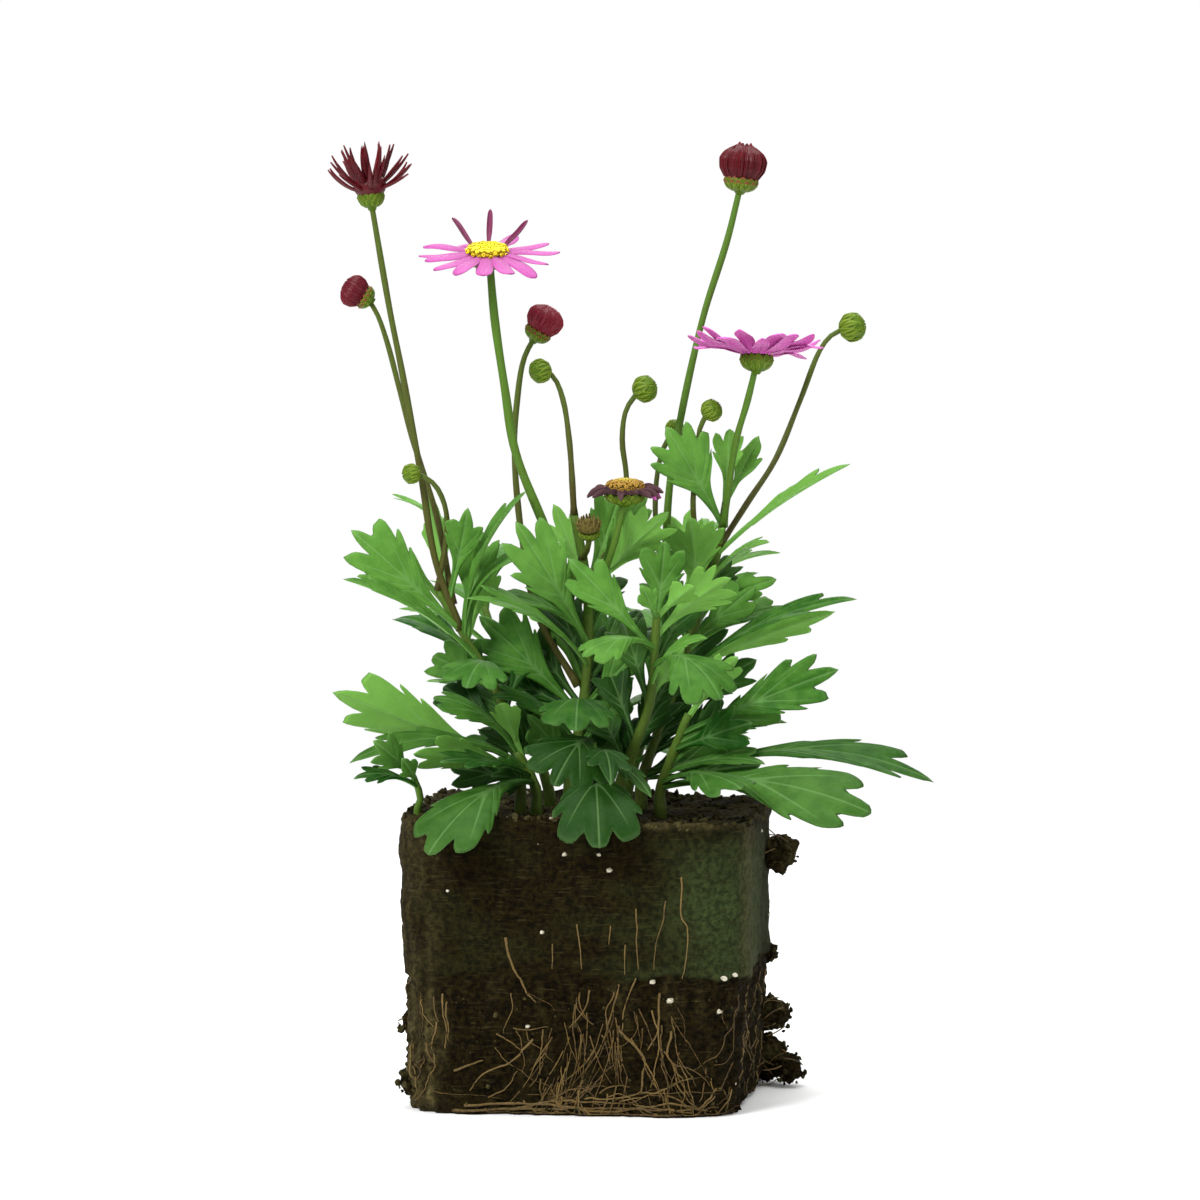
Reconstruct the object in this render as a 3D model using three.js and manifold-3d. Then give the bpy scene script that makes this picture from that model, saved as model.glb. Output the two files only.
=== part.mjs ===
// Swan river daisy on its bare root ball, in millimetres, +Z up.
// The origin is the middle of the root ball's flat foot, and -Y is the front.
import * as THREE from 'three';
import { mergeVertices } from 'three/addons/utils/BufferGeometryUtils.js';
import Module from 'manifold-3d';

const wasm = await Module();
wasm.setup();

// Root ball: the shape that a 9 cm square nursery pot leaves
const BALL_TOP_SIDE = 84;
const BALL_FOOT_SIDE = 81.5;
const BALL_CORNER = 12;
const BALL_HEIGHT = 71;
const BALL_TURN = THREE.MathUtils.degToRad(-7);
const BALL_POINTS_ROUND = 42;
const BALL_LEVELS = [0, 3, 17, 32, 35, 47, 59];
const SEAM_HEIGHT = 33.5;
const SEAM_STEP = 0.9;
const SOIL_DIP = 1.6;
// Rings of the soil's surface: share of the way out, and share of the dip
const SOIL_RINGS = [[1, 0], [0.93, 0.5], [0.45, 1]];
const RIM_FALL_RIGHT = 1.7;
const PEAT_RELIEF = 0.55;
const FOOT_TUCK = 1.3;

// Gaps between neighbours
const GAP = 0.3;
const LEAF_CLEARANCE = 0.35;
const HOLE_DEPTH = 7;

// Stems
const STEM_SIDES = 6;
const STALK_SIDES = 5;
const STEM_STEP = 16;

// Petals
const OPEN_PETALS = 14;
const OPEN_PETAL_LENGTH = 12.6;
const OPEN_PETAL_WIDTH = 3.8;
const ROLLED_WIDTH = 2.2;
const PETAL_THICKNESS = 0.7;
const BRUSH_PETALS = 12;

// Turn from one petal of a spiral to the next
const GOLDEN_TURN = 2.4;

// Leaves
const LEAF_THICKNESS = 0.7;
const LEAF_STALK_HALF_WIDTH = 0.75;
const LEANS = [0, -3, 3, -6, 6, -9, 9, -12, 12, -16, 16];
const LEAN_COST = 0.15;

// The eye that the plant was drawn up from: a place is given by x and z as they look against
// the middle plane, with y as its true depth.
const EYE = new THREE.Vector3(2.4, -1300, 187);

function seen([x, y, z]) {
  const reach = 1 - y / EYE.y;
  return new THREE.Vector3(EYE.x + (x - EYE.x) * reach, y, EYE.z + (z - EYE.z) * reach);
}

// A repeatable number from 0 to 1
function chance(seed) {
  const s = Math.sin(seed * 12.9898 + 4.1) * 43758.5453;
  return s - Math.floor(s);
}

// Ways that the upper face of a leaf looks
const FRONT = [0, -1, 0.25];
const UP = [0, -0.45, 1];
const SKY = [0, 0.1, 1];
const UNDER = [0, 0.9, 0.45];
const UP_LEFT = [-0.75, -0.25, 0.6];

// Leaf outlines: how far along the midrib, how wide, and the midrib point that it joins
const FAN = {
  midrib: [0, 0.4, 0.72, 1.04],
  edge: [
    [0, 0.07, 0],
    [0.42, 0.24, 1],
    [0.64, 0.9, 1],
    [0.79, 1.0, 2],
    [0.84, 0.7, 2],
    [0.98, 0.62, 2],
    [0.97, 0.3, 2],
  ],
};
const SPOON = {
  midrib: [0, 0.38, 0.7, 1.04],
  edge: [
    [0, 0.1, 0],
    [0.38, 0.27, 1],
    [0.66, 0.92, 1],
    [0.84, 0.94, 2],
    [0.89, 0.46, 2],
  ],
};
const STRAP = {
  midrib: [0, 0.35, 0.68, 1.03],
  edge: [
    [0, 0.16, 0],
    [0.35, 0.34, 1],
    [0.6, 0.86, 1],
    [0.8, 1.0, 2],
    [0.85, 0.66, 2],
    [0.97, 0.5, 2],
  ],
};

// A leaf: outline, base, tip, full width, face, arch, cup. Its base is moved to the nearest stem.
const SHOOTS = {
  shoot_left: {
    colour: 0x3f6f2a,
    foot: [-17, -6],
    stems: [
      [1.5, 1.0, [[-17, -6, 76], [-22, -8, 96.6], [-31.7, -10, 113.7], [-37.3, -10, 123.4]]],
      [1.0, 0.8, [[-31.7, -10, 113.7], [-37.8, -11, 130.7], [-41, -12, 150], [-45.9, -12, 177],
        [-48.8, -12, 191.7], [-53.2, -12, 217.5]]],
      [0.9, 0.7, [[-33.5, -10, 120], [-37.2, -6, 140.5], [-43.9, -5, 162.4], [-49.5, -5, 184],
        [-52, -6, 191], [-54, -6, 194.2]]],
      [0.8, 0.7, [[-37.3, -10, 123.4], [-34.9, -13, 140.5], [-37, -16, 147.8], [-39.6, -17, 150.6],
        [-42.4, -17.5, 151.6]]],
    ],
    leaves: [
      [FAN, [-33, -10, 112], [-57.5, -15, 137.5], 16, FRONT, 2, 0.15],
      [SPOON, [-36, -12, 119], [-53.5, -19, 134], 9, UNDER, 3, 0.25],
      [SPOON, [-35, -10, 121], [-40.4, -8, 146], 8, UNDER, 3, 0.3],
      [SPOON, [-34, -10, 121], [-30, -17, 142.5], 10, FRONT, -3, 0.25],
      [FAN, [-30, -9, 112], [-27, -4, 138], 12, FRONT, 2, 0.2],
      [STRAP, [-31, -9, 112], [-16, -14, 147.5], 10, UP_LEFT, 4, 0.3],
      [STRAP, [-27, -9, 104], [-59, -14, 127], 11, UP, 3, 0.35],
      [FAN, [-22, -8, 99], [-38.5, -3, 107.5], 13, FRONT, 2, 0.15],
      [SPOON, [-19, -7, 86], [-31, -6, 99], 11, FRONT, 1, 0.1],
      [FAN, [-23, -9, 102], [-30, -33, 100.5], 17, [0, -0.6, 0.8], 5, -0.15],
      [SPOON, [-31, -9, 112], [-14, -10, 133.5], 9, UP_LEFT, 5, 0.2],
      [SPOON, [-30, -9, 111], [-23.5, -2, 131.5], 8, UNDER, 1, 0.2],
      [STRAP, [-26, -9, 103], [-48, 12, 117], 11, UP, 3, 0.25],
    ],
  },
  shoot_middle: {
    colour: 0x417328,
    foot: [-5, -2],
    stems: [
      [1.7, 1.2, [[-5, -2, 76], [-1.2, -3, 99], [-0.7, -4, 123.4], [-3.9, -4, 141.7]]],
      [1.3, 1.1, [[-1, -4, 121], [-7.3, -8, 130.7], [-12.2, -12, 141.7], [-18.3, -15, 157.6],
        [-20.7, -16, 172.2], [-23.2, -17, 189.3], [-24.4, -18, 203]]],
      [1.0, 0.8, [[-3, -3, 100], [-12.7, 0, 117], [-16.6, 1, 135.6], [-18.5, 2, 157.6],
        [-17.8, 2, 169.8], [-16.1, 2, 180], [-12.9, 2, 186.2]]],
      [0.9, 0.7, [[-3.9, -4, 141.7], [-5.1, -4, 160], [-6.6, -4, 169.8], [-8.6, -4, 175],
        [-11, -5, 177.2]]],
      [0.9, 0.7, [[-0.7, -4, 126], [6, 0, 135.6], [8.8, 2, 150], [7.8, 2, 160], [8.8, 2, 167.5],
        [12, 2, 172.2]]],
      [1.0, 0.9, [[-0.8, -4, 118], [5, -10, 132], [8.5, -12, 145.5]]],
      [0.9, 0.8, [[-2, -4, 131], [-0.5, -9, 134], [-0.2, -9.5, 137.4]]],
    ],
    leaves: [
      [FAN, [-1, -4, 111], [-17.5, -10, 139.5], 17, FRONT, 3, 0.15],
      [SPOON, [-1, -4, 123], [-8.5, -1, 143.5], 9, UNDER, 1, 0.25],
      [STRAP, [-2, -3, 105], [-29.5, -15, 122.5], 14, UP, 4, 0.2],
      [SPOON, [-2, -4, 112], [-24, -6, 122], 9, UP, 3, 0.2],
      [FAN, [-1, -4, 124], [8, -7, 148.5], 13, FRONT, -2, 0.15],
      [SPOON, [-1, -3, 122], [13.5, 3, 147.5], 9, FRONT, 1, 0.2],
      [FAN, [-1, -4, 122], [18.5, -9, 142], 15, UNDER, 2, 0.1],
      [FAN, [-2, -3, 92], [-26.5, 2, 116.5], 17, FRONT, 3, 0.15],
      [FAN, [-2, -3, 96], [7, 8, 118], 15, FRONT, 2, 0.15],
      [SPOON, [-2, -3, 98], [-14, 10, 128], 12, UNDER, 3, 0.2],
      [FAN, [-3, -3, 90], [-3.5, -36, 90], 19, [0, -0.6, 0.8], 7, -0.15],
      [SPOON, [-3, -2, 84], [-17, 5, 104], 12, FRONT, 2, 0.2],
      [FAN, [-3, -3, 86], [-23, -16, 98], 13, UP, 3, 0.1],
      [SPOON, [-4, -2, 80], [-15, -12, 93], 10, FRONT, 1, 0.1],
      [SPOON, [-3, -3, 84], [9, -2, 99], 10, FRONT, 1, 0.1],
      [SPOON, [-1, -3, 94], [12, -4, 109], 10, FRONT, 1, 0.1],
    ],
  },
  shoot_front: {
    colour: 0x4a7c2c,
    foot: [7.3, -8],
    stems: [
      [1.6, 1.1, [[7.3, -8, 76], [12, -11, 88], [14.6, -12, 96], [15.9, -13, 111], [16.3, -13.5, 118]]],
    ],
    leaves: [
      [FAN, [14.5, -12, 108], [-4.5, -17, 130.5], 12, FRONT, 2, 0.2],
      [FAN, [16, -13, 114], [18.3, -17, 134.5], 13, FRONT, -3, 0.25],
      [SPOON, [16, -13, 117], [12.5, -19, 124.5], 6, FRONT, 1, 0.3],
      [SPOON, [16, -13, 117], [25.2, -20, 124.5], 8, UNDER, 1, 0.25],
      [FAN, [16, -13, 112], [34, -15, 126.5], 14, UNDER, 3, 0.15],
      [FAN, [15.9, -13, 109], [-1.4, -26, 108], 13, UP, 3, -0.25],
      [FAN, [15.6, -13, 104], [31.5, -34, 97.5], 19, UP, 6, -0.2],
      [SPOON, [15, -12, 100], [28, -20, 112], 8, UP, 3, 0.25],
      [SPOON, [14, -12, 96], [23, -24, 108], 9, UNDER, 2, 0.3],
    ],
  },
  shoot_right: {
    colour: 0x44752a,
    foot: [12.5, 3],
    stems: [
      [1.6, 1.0, [[12.5, 3, 76], [20, 5, 98], [26, 6, 116], [31, 7, 132], [33, 8, 145]]],
      [1.1, 0.9, [[21.5, 5, 103], [18.6, 8, 128], [19.5, 9, 150], [22, 10, 165], [25, 10, 179.5],
        [28, 10, 191.7], [33.4, 10, 208.8], [36.5, 10, 221.5]]],
      [1.0, 0.9, [[32.5, 7, 139], [33.6, 4, 147], [35.6, 0, 160], [38.2, -2, 169], [40.4, -4, 178]]],
      [0.9, 0.7, [[31.5, 7, 134], [38.5, 12, 145], [45, 14, 155], [51.2, 16, 169.8],
        [56, 16, 182], [58.8, 15.5, 185.6], [62.6, 15, 187.4]]],
      [0.8, 0.7, [[29, 7, 127], [25.2, 3, 142], [26, 2, 155], [26.8, 2, 163], [28.6, 2, 166.6]]],
      [0.8, 0.7, [[20.5, 7, 112], [15.9, 14, 142], [17.3, 16, 156.4], [20, 17, 162]]],
    ],
    leaves: [
      [FAN, [30, 7, 139], [18.8, -3, 162.5], 17, FRONT, 2, 0.15],
      [SPOON, [33, 7, 145], [34, 5, 162.5], 9, UNDER, 2, 0.3],
      [SPOON, [33, 8, 145], [41, 10, 160.5], 7, FRONT, -2, 0.3],
      [STRAP, [31, 7, 131], [63, 3, 154], 9, UP_LEFT, 2, 0.35],
      [SPOON, [29, 6, 124], [43, -6, 135.5], 9, UP, 2, 0.25],
      [SPOON, [27, 6, 119], [45, 2, 126], 8, FRONT, 2, 0.3],
      [FAN, [27, 6, 118], [24.5, -5, 141], 17, UNDER, 2, 0.1],
      [SPOON, [24, 6, 110], [40, -1, 124], 11, FRONT, 2, 0.2],
      [STRAP, [20, 5, 99], [64.5, -12, 121], 11, UP, 5, 0.25],
      [SPOON, [24, 6, 108], [49, 8, 119], 11, UP, 3, 0.2],
      [STRAP, [22, 5, 102], [59.5, -3, 118.5], 9, UNDER, 2, 0.25],
      [FAN, [28, 6, 122], [20, 22, 141], 14, UNDER, 2, 0.2],
      [SPOON, [25, 6, 112], [40, 26, 128], 12, SKY, 3, 0.2],
    ],
  },
  tuft_left: {
    colour: 0x3c6a28,
    foot: [-13, -13],
    stems: [[1.7, 1.1, [[-13, -13, 73.5], [-15, -14, 79], [-18, -15, 84]]]],
    leaves: [
      [FAN, [-15, -14, 76], [-61.5, -24, 98.5], 17, UNDER, 2, 0.15],
      [SPOON, [-15, -14, 80], [-57.5, -26, 81.5], 12, UP, 7, 0.2],
      [FAN, [-17, -15, 84], [-37.5, -18, 97.5], 12, UP, 3, -0.15],
      [SPOON, [-14, -13, 79], [-42.5, -27, 84], 12, UNDER, 2, 0.2],
      [SPOON, [-14, -13, 78], [-36, -36, 81.5], 14, UP, 2, 0.1],
      [FAN, [-14, -14, 76], [-39, -50, 60.5], 18, [0, -0.6, 0.8], 6, -0.1],
      [SPOON, [-16, -14, 82], [-22, -26, 96], 8, UNDER, 2, 0.3],
    ],
  },
  tuft_front: {
    colour: 0x37642a,
    foot: [1, -16],
    stems: [[1.7, 1.2, [[1, -16, 73.5], [0.8, -18, 79], [0.5, -20, 86]]]],
    leaves: [
      [FAN, [0.5, -20, 88], [-8.5, -40, 76.5], 22, [0, -0.8, 0.6], 5, -0.1],
      [SPOON, [0.8, -17, 82], [5, -44, 76.5], 12, [0.2, -0.85, 0.5], 5, 0.1],
      [FAN, [1, -16, 78], [2.2, -54, 61.5], 22, [0, -0.75, 0.65], 7, -0.1],
      [SPOON, [0.7, -18, 80], [14.6, -40, 73.5], 6, UP, 4, 0.1],
    ],
  },
  tuft_right: {
    colour: 0x41702a,
    foot: [17, -11],
    stems: [[1.7, 1.1, [[17, -11, 73.5], [19, -13, 80], [22, -15, 88], [24, -16, 93]]]],
    leaves: [
      [FAN, [22, -15, 88], [59.5, -20, 103.5], 14, FRONT, 3, 0.15],
      [SPOON, [22, -14, 86], [48, -14, 97], 11, FRONT, 3, 0.2],
      [FAN, [21, -14, 84], [39, -20, 91], 12, FRONT, 2, 0.15],
      [STRAP, [20, -13, 80], [48, -18, 90.5], 9, UP, 4, 0.25],
      [SPOON, [19, -12, 78], [42, -26, 81.5], 11, UP, 2, 0.2],
      [FAN, [18, -12, 76], [82.5, -24, 78], 15, UP, 8, 0.1],
      [FAN, [18, -12, 75], [67, -42, 70], 19, [0.25, -0.8, 0.55], 6, -0.1],
      [FAN, [18, -12, 76], [36.5, -52, 74.5], 14, UP, 3, -0.15],
      [SPOON, [23, -15, 91], [36, -34, 106], 9, UNDER, 2, 0.25],
    ],
  },
  sprig: {
    colour: 0x4f7d31,
    foot: [-41.5, -24],
    stems: [[1.1, 0.8, [[-41.5, -24, 72], [-42.5, -24.5, 76], [-44, -25, 79]]]],
    leaves: [
      [SPOON, [-43, -24.5, 75], [-57.5, -28, 77.5], 9, UP, 2, 0.1],
      [FAN, [-43.5, -25, 78], [-52, -32, 86.5], 10, FRONT, 1, 0.1],
      [SPOON, [-43, -24.5, 77], [-46, -36, 82], 6, FRONT, 1, 0.2],
    ],
  },
  shoot_back_left: {
    colour: 0x3d6c29,
    foot: [-10, 13],
    stems: [[1.5, 0.9, [[-10, 13, 74], [-17, 21, 96], [-24, 28, 114], [-28, 32, 126]]]],
    ring: { count: 7, from: 0.14, reach: 30, rise: 10, width: 14, towards: 135, spread: 130 },
  },
  shoot_back_right: {
    colour: 0x3d6c29,
    foot: [9, 15],
    stems: [[1.5, 0.9, [[9, 15, 74], [15, 24, 94], [20, 31, 112], [24, 36, 124]]]],
    ring: { count: 7, from: 0.14, reach: 30, rise: 9, width: 14, towards: 50, spread: 130 },
  },
  tuft_back: {
    colour: 0x3a6628,
    foot: [0, 24],
    stems: [[1.7, 1.2, [[0, 24, 73.5], [0, 26, 80], [0, 28, 88]]]],
    ring: { count: 6, from: 0.1, reach: 38, rise: -1, width: 15, towards: 90, spread: 165 },
  },
};

// Flower heads: the shoot it grows on, the middle of the cup's rim, the way that it looks, and
// the green cup as [radius, depth]
const HEADS = {
  bloom_left: { on: 'shoot_middle', at: [-25, -18, 204.8], axis: [0, -0.3, 1], bowl: [4.6, 3.6] },
  bloom_right: { on: 'shoot_right', at: [40.6, -4, 180.4], axis: [0.04, 0.13, 1], bowl: [4.4, 4] },
  half_open: { on: 'shoot_left', at: [-53.4, -12, 220], axis: [-0.1, -0.05, 1], bowl: [3.5, 3.8] },
  tall_bud: { on: 'shoot_right', at: [36.8, 10, 223.6], axis: [0.12, 0, 1], bowl: [4.6, 3.6] },
  left_bud: { on: 'shoot_left', at: [-55.3, -6, 195.1], axis: [-0.85, -0.1, 0.5], bowl: [3.1, 2.8] },
  middle_bud: { on: 'shoot_middle', at: [-12.4, 2, 186.8], axis: [0.5, -0.1, 0.85], bowl: [3.6, 3.2] },
  faded: { on: 'shoot_middle', at: [8.5, -12, 147], axis: [0, -0.1, 1], bowl: [5.4, 3] },
  spent: { on: 'shoot_middle', at: [-0.2, -9.5, 137.8], axis: [-0.1, -0.5, 1], bowl: [2.7, 2.3] },
};

// Green buds are the swollen ends of their stalks: centre, axis, radius
const GREEN_BUDS = [
  ['shoot_left', [-43.8, -17.7, 151.8], [-0.9, -0.2, -0.2], 2.2],
  ['shoot_middle', [-12.4, -5.2, 176.8], [-0.8, -0.2, -0.3], 2.7],
  ['shoot_middle', [13.6, 1.8, 172.6], [0.9, -0.2, 0.3], 3.0],
  ['shoot_right', [64.2, 14.8, 187.6], [0.9, -0.2, 0.2], 3.3],
  ['shoot_right', [29.8, 2, 167.4], [0.8, -0.2, 0.5], 2.5],
  ['shoot_right', [20.8, 17.2, 163], [0.5, 0, 0.8], 2.2],
];

// Clods on the sides of the root ball: x, y, z, radius
const CLODS = [
  [46.8, 20, 56.8, 5.6],
  [44, 24, 32, 3.3],
  [45.2, 20, 16.5, 5.8],
  [44, 16, 6, 7.2],
  [49.2, 11, 4.4, 4.8],
  [-43.6, -25, 6.5, 4.2],
  [-44.2, -14, 19, 3.6],
];

// Thick roots on the faces: radius, and points as [along the front face, height]
const FACE_ROOTS = [
  [0.8, [[-30, 3], [-22, 10], [-13, 18]]],
  [0.9, [[2, 3], [9, 14], [12, 27], [10, 34]]],
  [0.8, [[-4, 2], [6, 8], [18, 12], [30, 9]]],
  [1.0, [[-34, 1.6], [-15, 2.4], [6, 1.8], [33, 2.2]]],
  [0.8, [[30, 4], [27, 17], [31, 28]]],
];

// Mesh helpers

// A solid from corners and triangles, turned inside out if its faces point in
function solidFrom(corners, triangles) {
  let volume = 0;
  for (const [a, b, c] of triangles) {
    volume += corners[a].dot(new THREE.Vector3().crossVectors(corners[b], corners[c]));
  }
  const order = volume > 0 ? triangles : triangles.map(([a, b, c]) => [a, c, b]);
  return new wasm.Manifold(
    new wasm.Mesh({
      numProp: 3,
      vertProperties: new Float32Array(corners.flatMap((p) => [p.x, p.y, p.z])),
      triVerts: new Uint32Array(order.flat()),
    }),
  );
}

// A solid through rings of the same number of points, closed by a fan at each end
function loft(rings) {
  const count = rings[0].length;
  const corners = rings.flat();
  const triangles = [];
  for (let level = 0; level < rings.length - 1; level++) {
    for (let i = 0; i < count; i++) {
      const a = level * count + i;
      const b = level * count + ((i + 1) % count);
      triangles.push([a, b, b + count], [a, b + count, a + count]);
    }
  }
  for (const [start, flip] of [[0, true], [(rings.length - 1) * count, false]]) {
    const middle = corners.length;
    const centre = new THREE.Vector3();
    for (let i = 0; i < count; i++) {
      centre.addScaledVector(corners[start + i], 1 / count);
    }
    corners.push(centre);
    for (let i = 0; i < count; i++) {
      const a = start + i;
      const b = start + ((i + 1) % count);
      triangles.push(flip ? [middle, b, a] : [middle, a, b]);
    }
  }
  return solidFrom(corners, triangles);
}

// Two directions square to an axis
function sideways(axis) {
  const across = new THREE.Vector3(0, 1, 0).cross(axis);
  if (across.length() < 0.2) {
    across.set(1, 0, 0).cross(axis);
  }
  across.normalize();
  return [across, new THREE.Vector3().crossVectors(axis, across)];
}

// A round stem through points, thinning from one radius to the other
function stem(points, startRadius, endRadius, sides) {
  const path = new THREE.CatmullRomCurve3(points, false, 'centripetal');
  const steps = Math.max(points.length - 1, Math.round(path.getLength() / STEM_STEP));
  const frames = path.computeFrenetFrames(steps, false);
  const rings = [];
  for (let i = 0; i <= steps; i++) {
    const centre = path.getPointAt(i / steps);
    const radius = THREE.MathUtils.lerp(startRadius, endRadius, i / steps);
    const ring = [];
    for (let j = 0; j < sides; j++) {
      const angle = (j / sides) * 2 * Math.PI;
      ring.push(
        centre
          .clone()
          .addScaledVector(frames.normals[i], radius * Math.cos(angle))
          .addScaledVector(frames.binormals[i], radius * Math.sin(angle)),
      );
    }
    rings.push(ring);
  }
  return loft(rings);
}

// A turned form on an axis: profile is [distance along the axis, radius], with ribs round it
function turned(at, axis, profile, sides, rib = 0) {
  const along = axis.clone().normalize();
  const [u, w] = sideways(along);
  const rings = profile.map(([height, radius]) => {
    const ring = [];
    for (let j = 0; j < sides; j++) {
      const angle = (j / sides) * 2 * Math.PI;
      const r = radius * (1 + (j % 2 === 0 ? rib : -rib));
      ring.push(
        at
          .clone()
          .addScaledVector(along, height)
          .addScaledVector(u, r * Math.cos(angle))
          .addScaledVector(w, r * Math.sin(angle)),
      );
    }
    return ring;
  });
  return loft(rings);
}

// The biggest body of a solid, without sealed hollows or loose scraps
function oneBody(solid) {
  const bodies = solid.decompose();
  return bodies.reduce((best, body) => (body.volume() > best.volume() ? body : best));
}

function vector(xyz) {
  return new THREE.Vector3(...xyz);
}

// Leaves

// The midrib of a leaf and the way that its upper face looks
function midrib(leaf, lean) {
  const tip = leaf.tip.clone().add(new THREE.Vector3(0, lean, 0));
  const chord = tip.clone().sub(leaf.base);
  const way = chord.clone().normalize();
  const up = leaf.face.clone().addScaledVector(way, -leaf.face.dot(way)).normalize();
  const bow = (share) =>
    leaf.base.clone().addScaledVector(chord, share).addScaledVector(up, (leaf.arch * 4) / 3);
  return [new THREE.CubicBezierCurve3(leaf.base, bow(1 / 3), bow(2 / 3), tip), up];
}

// A leaf blade as a closed solid; extra thickens and widens it for the clearance test
function blade(leaf, lean, extra = 0) {
  const [curve, up] = midrib(leaf, lean);
  const length = curve.getLength();
  const half = leaf.width / 2;
  const { midrib: rib, edge } = leaf.outline;
  const top = [];
  const bottom = [];
  const place = (u, side) => {
    const s = Math.min(u, 1);
    const along = curve.getTangent(s);
    const normal = up.clone().addScaledVector(along, -up.dot(along)).normalize();
    const across = new THREE.Vector3().crossVectors(along, normal);
    const point = curve
      .getPoint(s)
      .addScaledVector(along, (u - s) * length)
      .addScaledVector(across, side)
      .addScaledVector(normal, leaf.cup * Math.abs(side));
    top.push(point.clone().addScaledVector(normal, LEAF_THICKNESS / 2 + extra));
    bottom.push(point.clone().addScaledVector(normal, -LEAF_THICKNESS / 2 - extra));
  };
  rib.forEach((u) => place(u, 0));
  for (const sign of [1, -1]) {
    edge.forEach(([u, v], i) => {
      const ragged = 1 + 0.16 * (chance(leaf.seed + i * 3 + sign) - 0.5);
      place(u, sign * (Math.max(v * half * ragged, LEAF_STALK_HALF_WIDTH) + extra));
    });
  }
  const faces = [];
  const last = rib.length - 1;
  for (const [start, flip] of [[rib.length, false], [rib.length + edge.length, true]]) {
    const add = (a, b, c) => faces.push(flip ? [a, c, b] : [a, b, c]);
    edge.forEach(([, , spine], i) => {
      if (i === 0) {
        return;
      }
      const before = edge[i - 1][2];
      add(before, start + i - 1, start + i);
      for (let k = before; k < spine; k++) {
        add(k, start + i, k + 1);
      }
    });
    for (let k = edge[edge.length - 1][2]; k < last; k++) {
      add(k, start + edge.length - 1, k + 1);
    }
  }
  const right = edge.map((_, i) => rib.length + i);
  const left = edge.map((_, i) => rib.length + edge.length + i).reverse();
  const border = [0, ...right, last, ...left];
  const count = top.length;
  const triangles = [...faces, ...faces.map(([a, b, c]) => [c + count, b + count, a + count])];
  border.forEach((a, i) => {
    const b = border[(i + 1) % border.length];
    triangles.push([a, a + count, b + count], [a, b + count, b]);
  });
  return solidFrom([...top, ...bottom], triangles);
}

// The point of the stems that lies nearest to a place
function nearestOnStems(place, paths) {
  let best = null;
  for (const path of paths) {
    for (const point of path.getSpacedPoints(40)) {
      if (best === null || point.distanceTo(place) < best.distanceTo(place)) {
        best = point;
      }
    }
  }
  return best;
}

// The leaves of a shoot that the list doesn't give one by one: round the stem by golden angle
function ringOfLeaves(ring, path, seed) {
  const leaves = [];
  for (let i = 0; i < ring.count; i++) {
    const share = ring.from + ((1 - ring.from) * i) / (ring.count - 1);
    const base = path.getPointAt(share);
    const turn = ((i * 0.618) % 1) - 0.5;
    const heading = THREE.MathUtils.degToRad(ring.towards + ring.spread * turn);
    const reach = ring.reach * (1.12 - 0.4 * share) * (0.85 + 0.3 * chance(seed + i));
    const rise = ring.rise + 9 * share + 6 * (chance(seed + i + 50) - 0.5);
    const tip = base
      .clone()
      .add(new THREE.Vector3(reach * Math.cos(heading), reach * Math.sin(heading), rise));
    leaves.push({
      outline: i % 3 === 1 ? SPOON : FAN,
      base,
      tip,
      width: ring.width * (0.85 + 0.3 * chance(seed + i + 90)),
      face: vector(SKY),
      arch: 4,
      cup: 0.12,
      seed: seed + i * 7,
    });
  }
  return leaves;
}

// Flower heads

// Petal outlines: how far along, and how wide
const STRAP_PETAL = [[0, 0.3], [0.55, 1], [0.88, 0.85], [1, 0.3]];
const ROLLED_PETAL = [[0, 1], [0.6, 1], [1, 0.4]];

// One petal: a strap that leaves the head at a slope and may curl up or down towards its tip
function petal(at, axis, turn, shape) {
  const along = axis.clone().normalize();
  const [u, w] = sideways(along);
  const out = u.clone().multiplyScalar(Math.cos(turn)).addScaledVector(w, Math.sin(turn));
  const across = new THREE.Vector3().crossVectors(along, out);
  const rings = [];
  let place = at.clone().addScaledVector(out, shape.start).addScaledVector(along, shape.lift);
  let before = 0;
  for (const [share, breadth] of shape.outline) {
    const slope = shape.slope + shape.curl * share;
    const way = out.clone().multiplyScalar(Math.cos(slope)).addScaledVector(along, Math.sin(slope));
    const normal = new THREE.Vector3().crossVectors(way, across).negate();
    place = place.clone().addScaledVector(way, (share - before) * shape.length);
    before = share;
    const middle = place;
    rings.push(
      [[-1, -1], [1, -1], [1, 1], [-1, 1]].map(([side, lift]) =>
        middle
          .clone()
          .addScaledVector(across, (side * breadth * shape.width) / 2)
          .addScaledVector(normal, (lift * shape.thickness) / 2),
      ),
    );
  }
  return loft(rings);
}

// A wheel of petals on a thin base
function petalWheel(head, count, seed, shapeOf) {
  const at = seen(head.at);
  const axis = vector(head.axis);
  const radius = head.bowl[0];
  let wheel = turned(at, axis, [[GAP, radius * 0.95], [GAP + 0.9, radius * 1.05]], 10);
  for (let i = 0; i < count; i++) {
    const turn = ((i + 0.35 * (chance(seed + i) - 0.5)) / count) * 2 * Math.PI;
    wheel = wheel.add(petal(at, axis, turn, shapeOf(turn, i)));
  }
  return oneBody(wheel);
}

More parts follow.
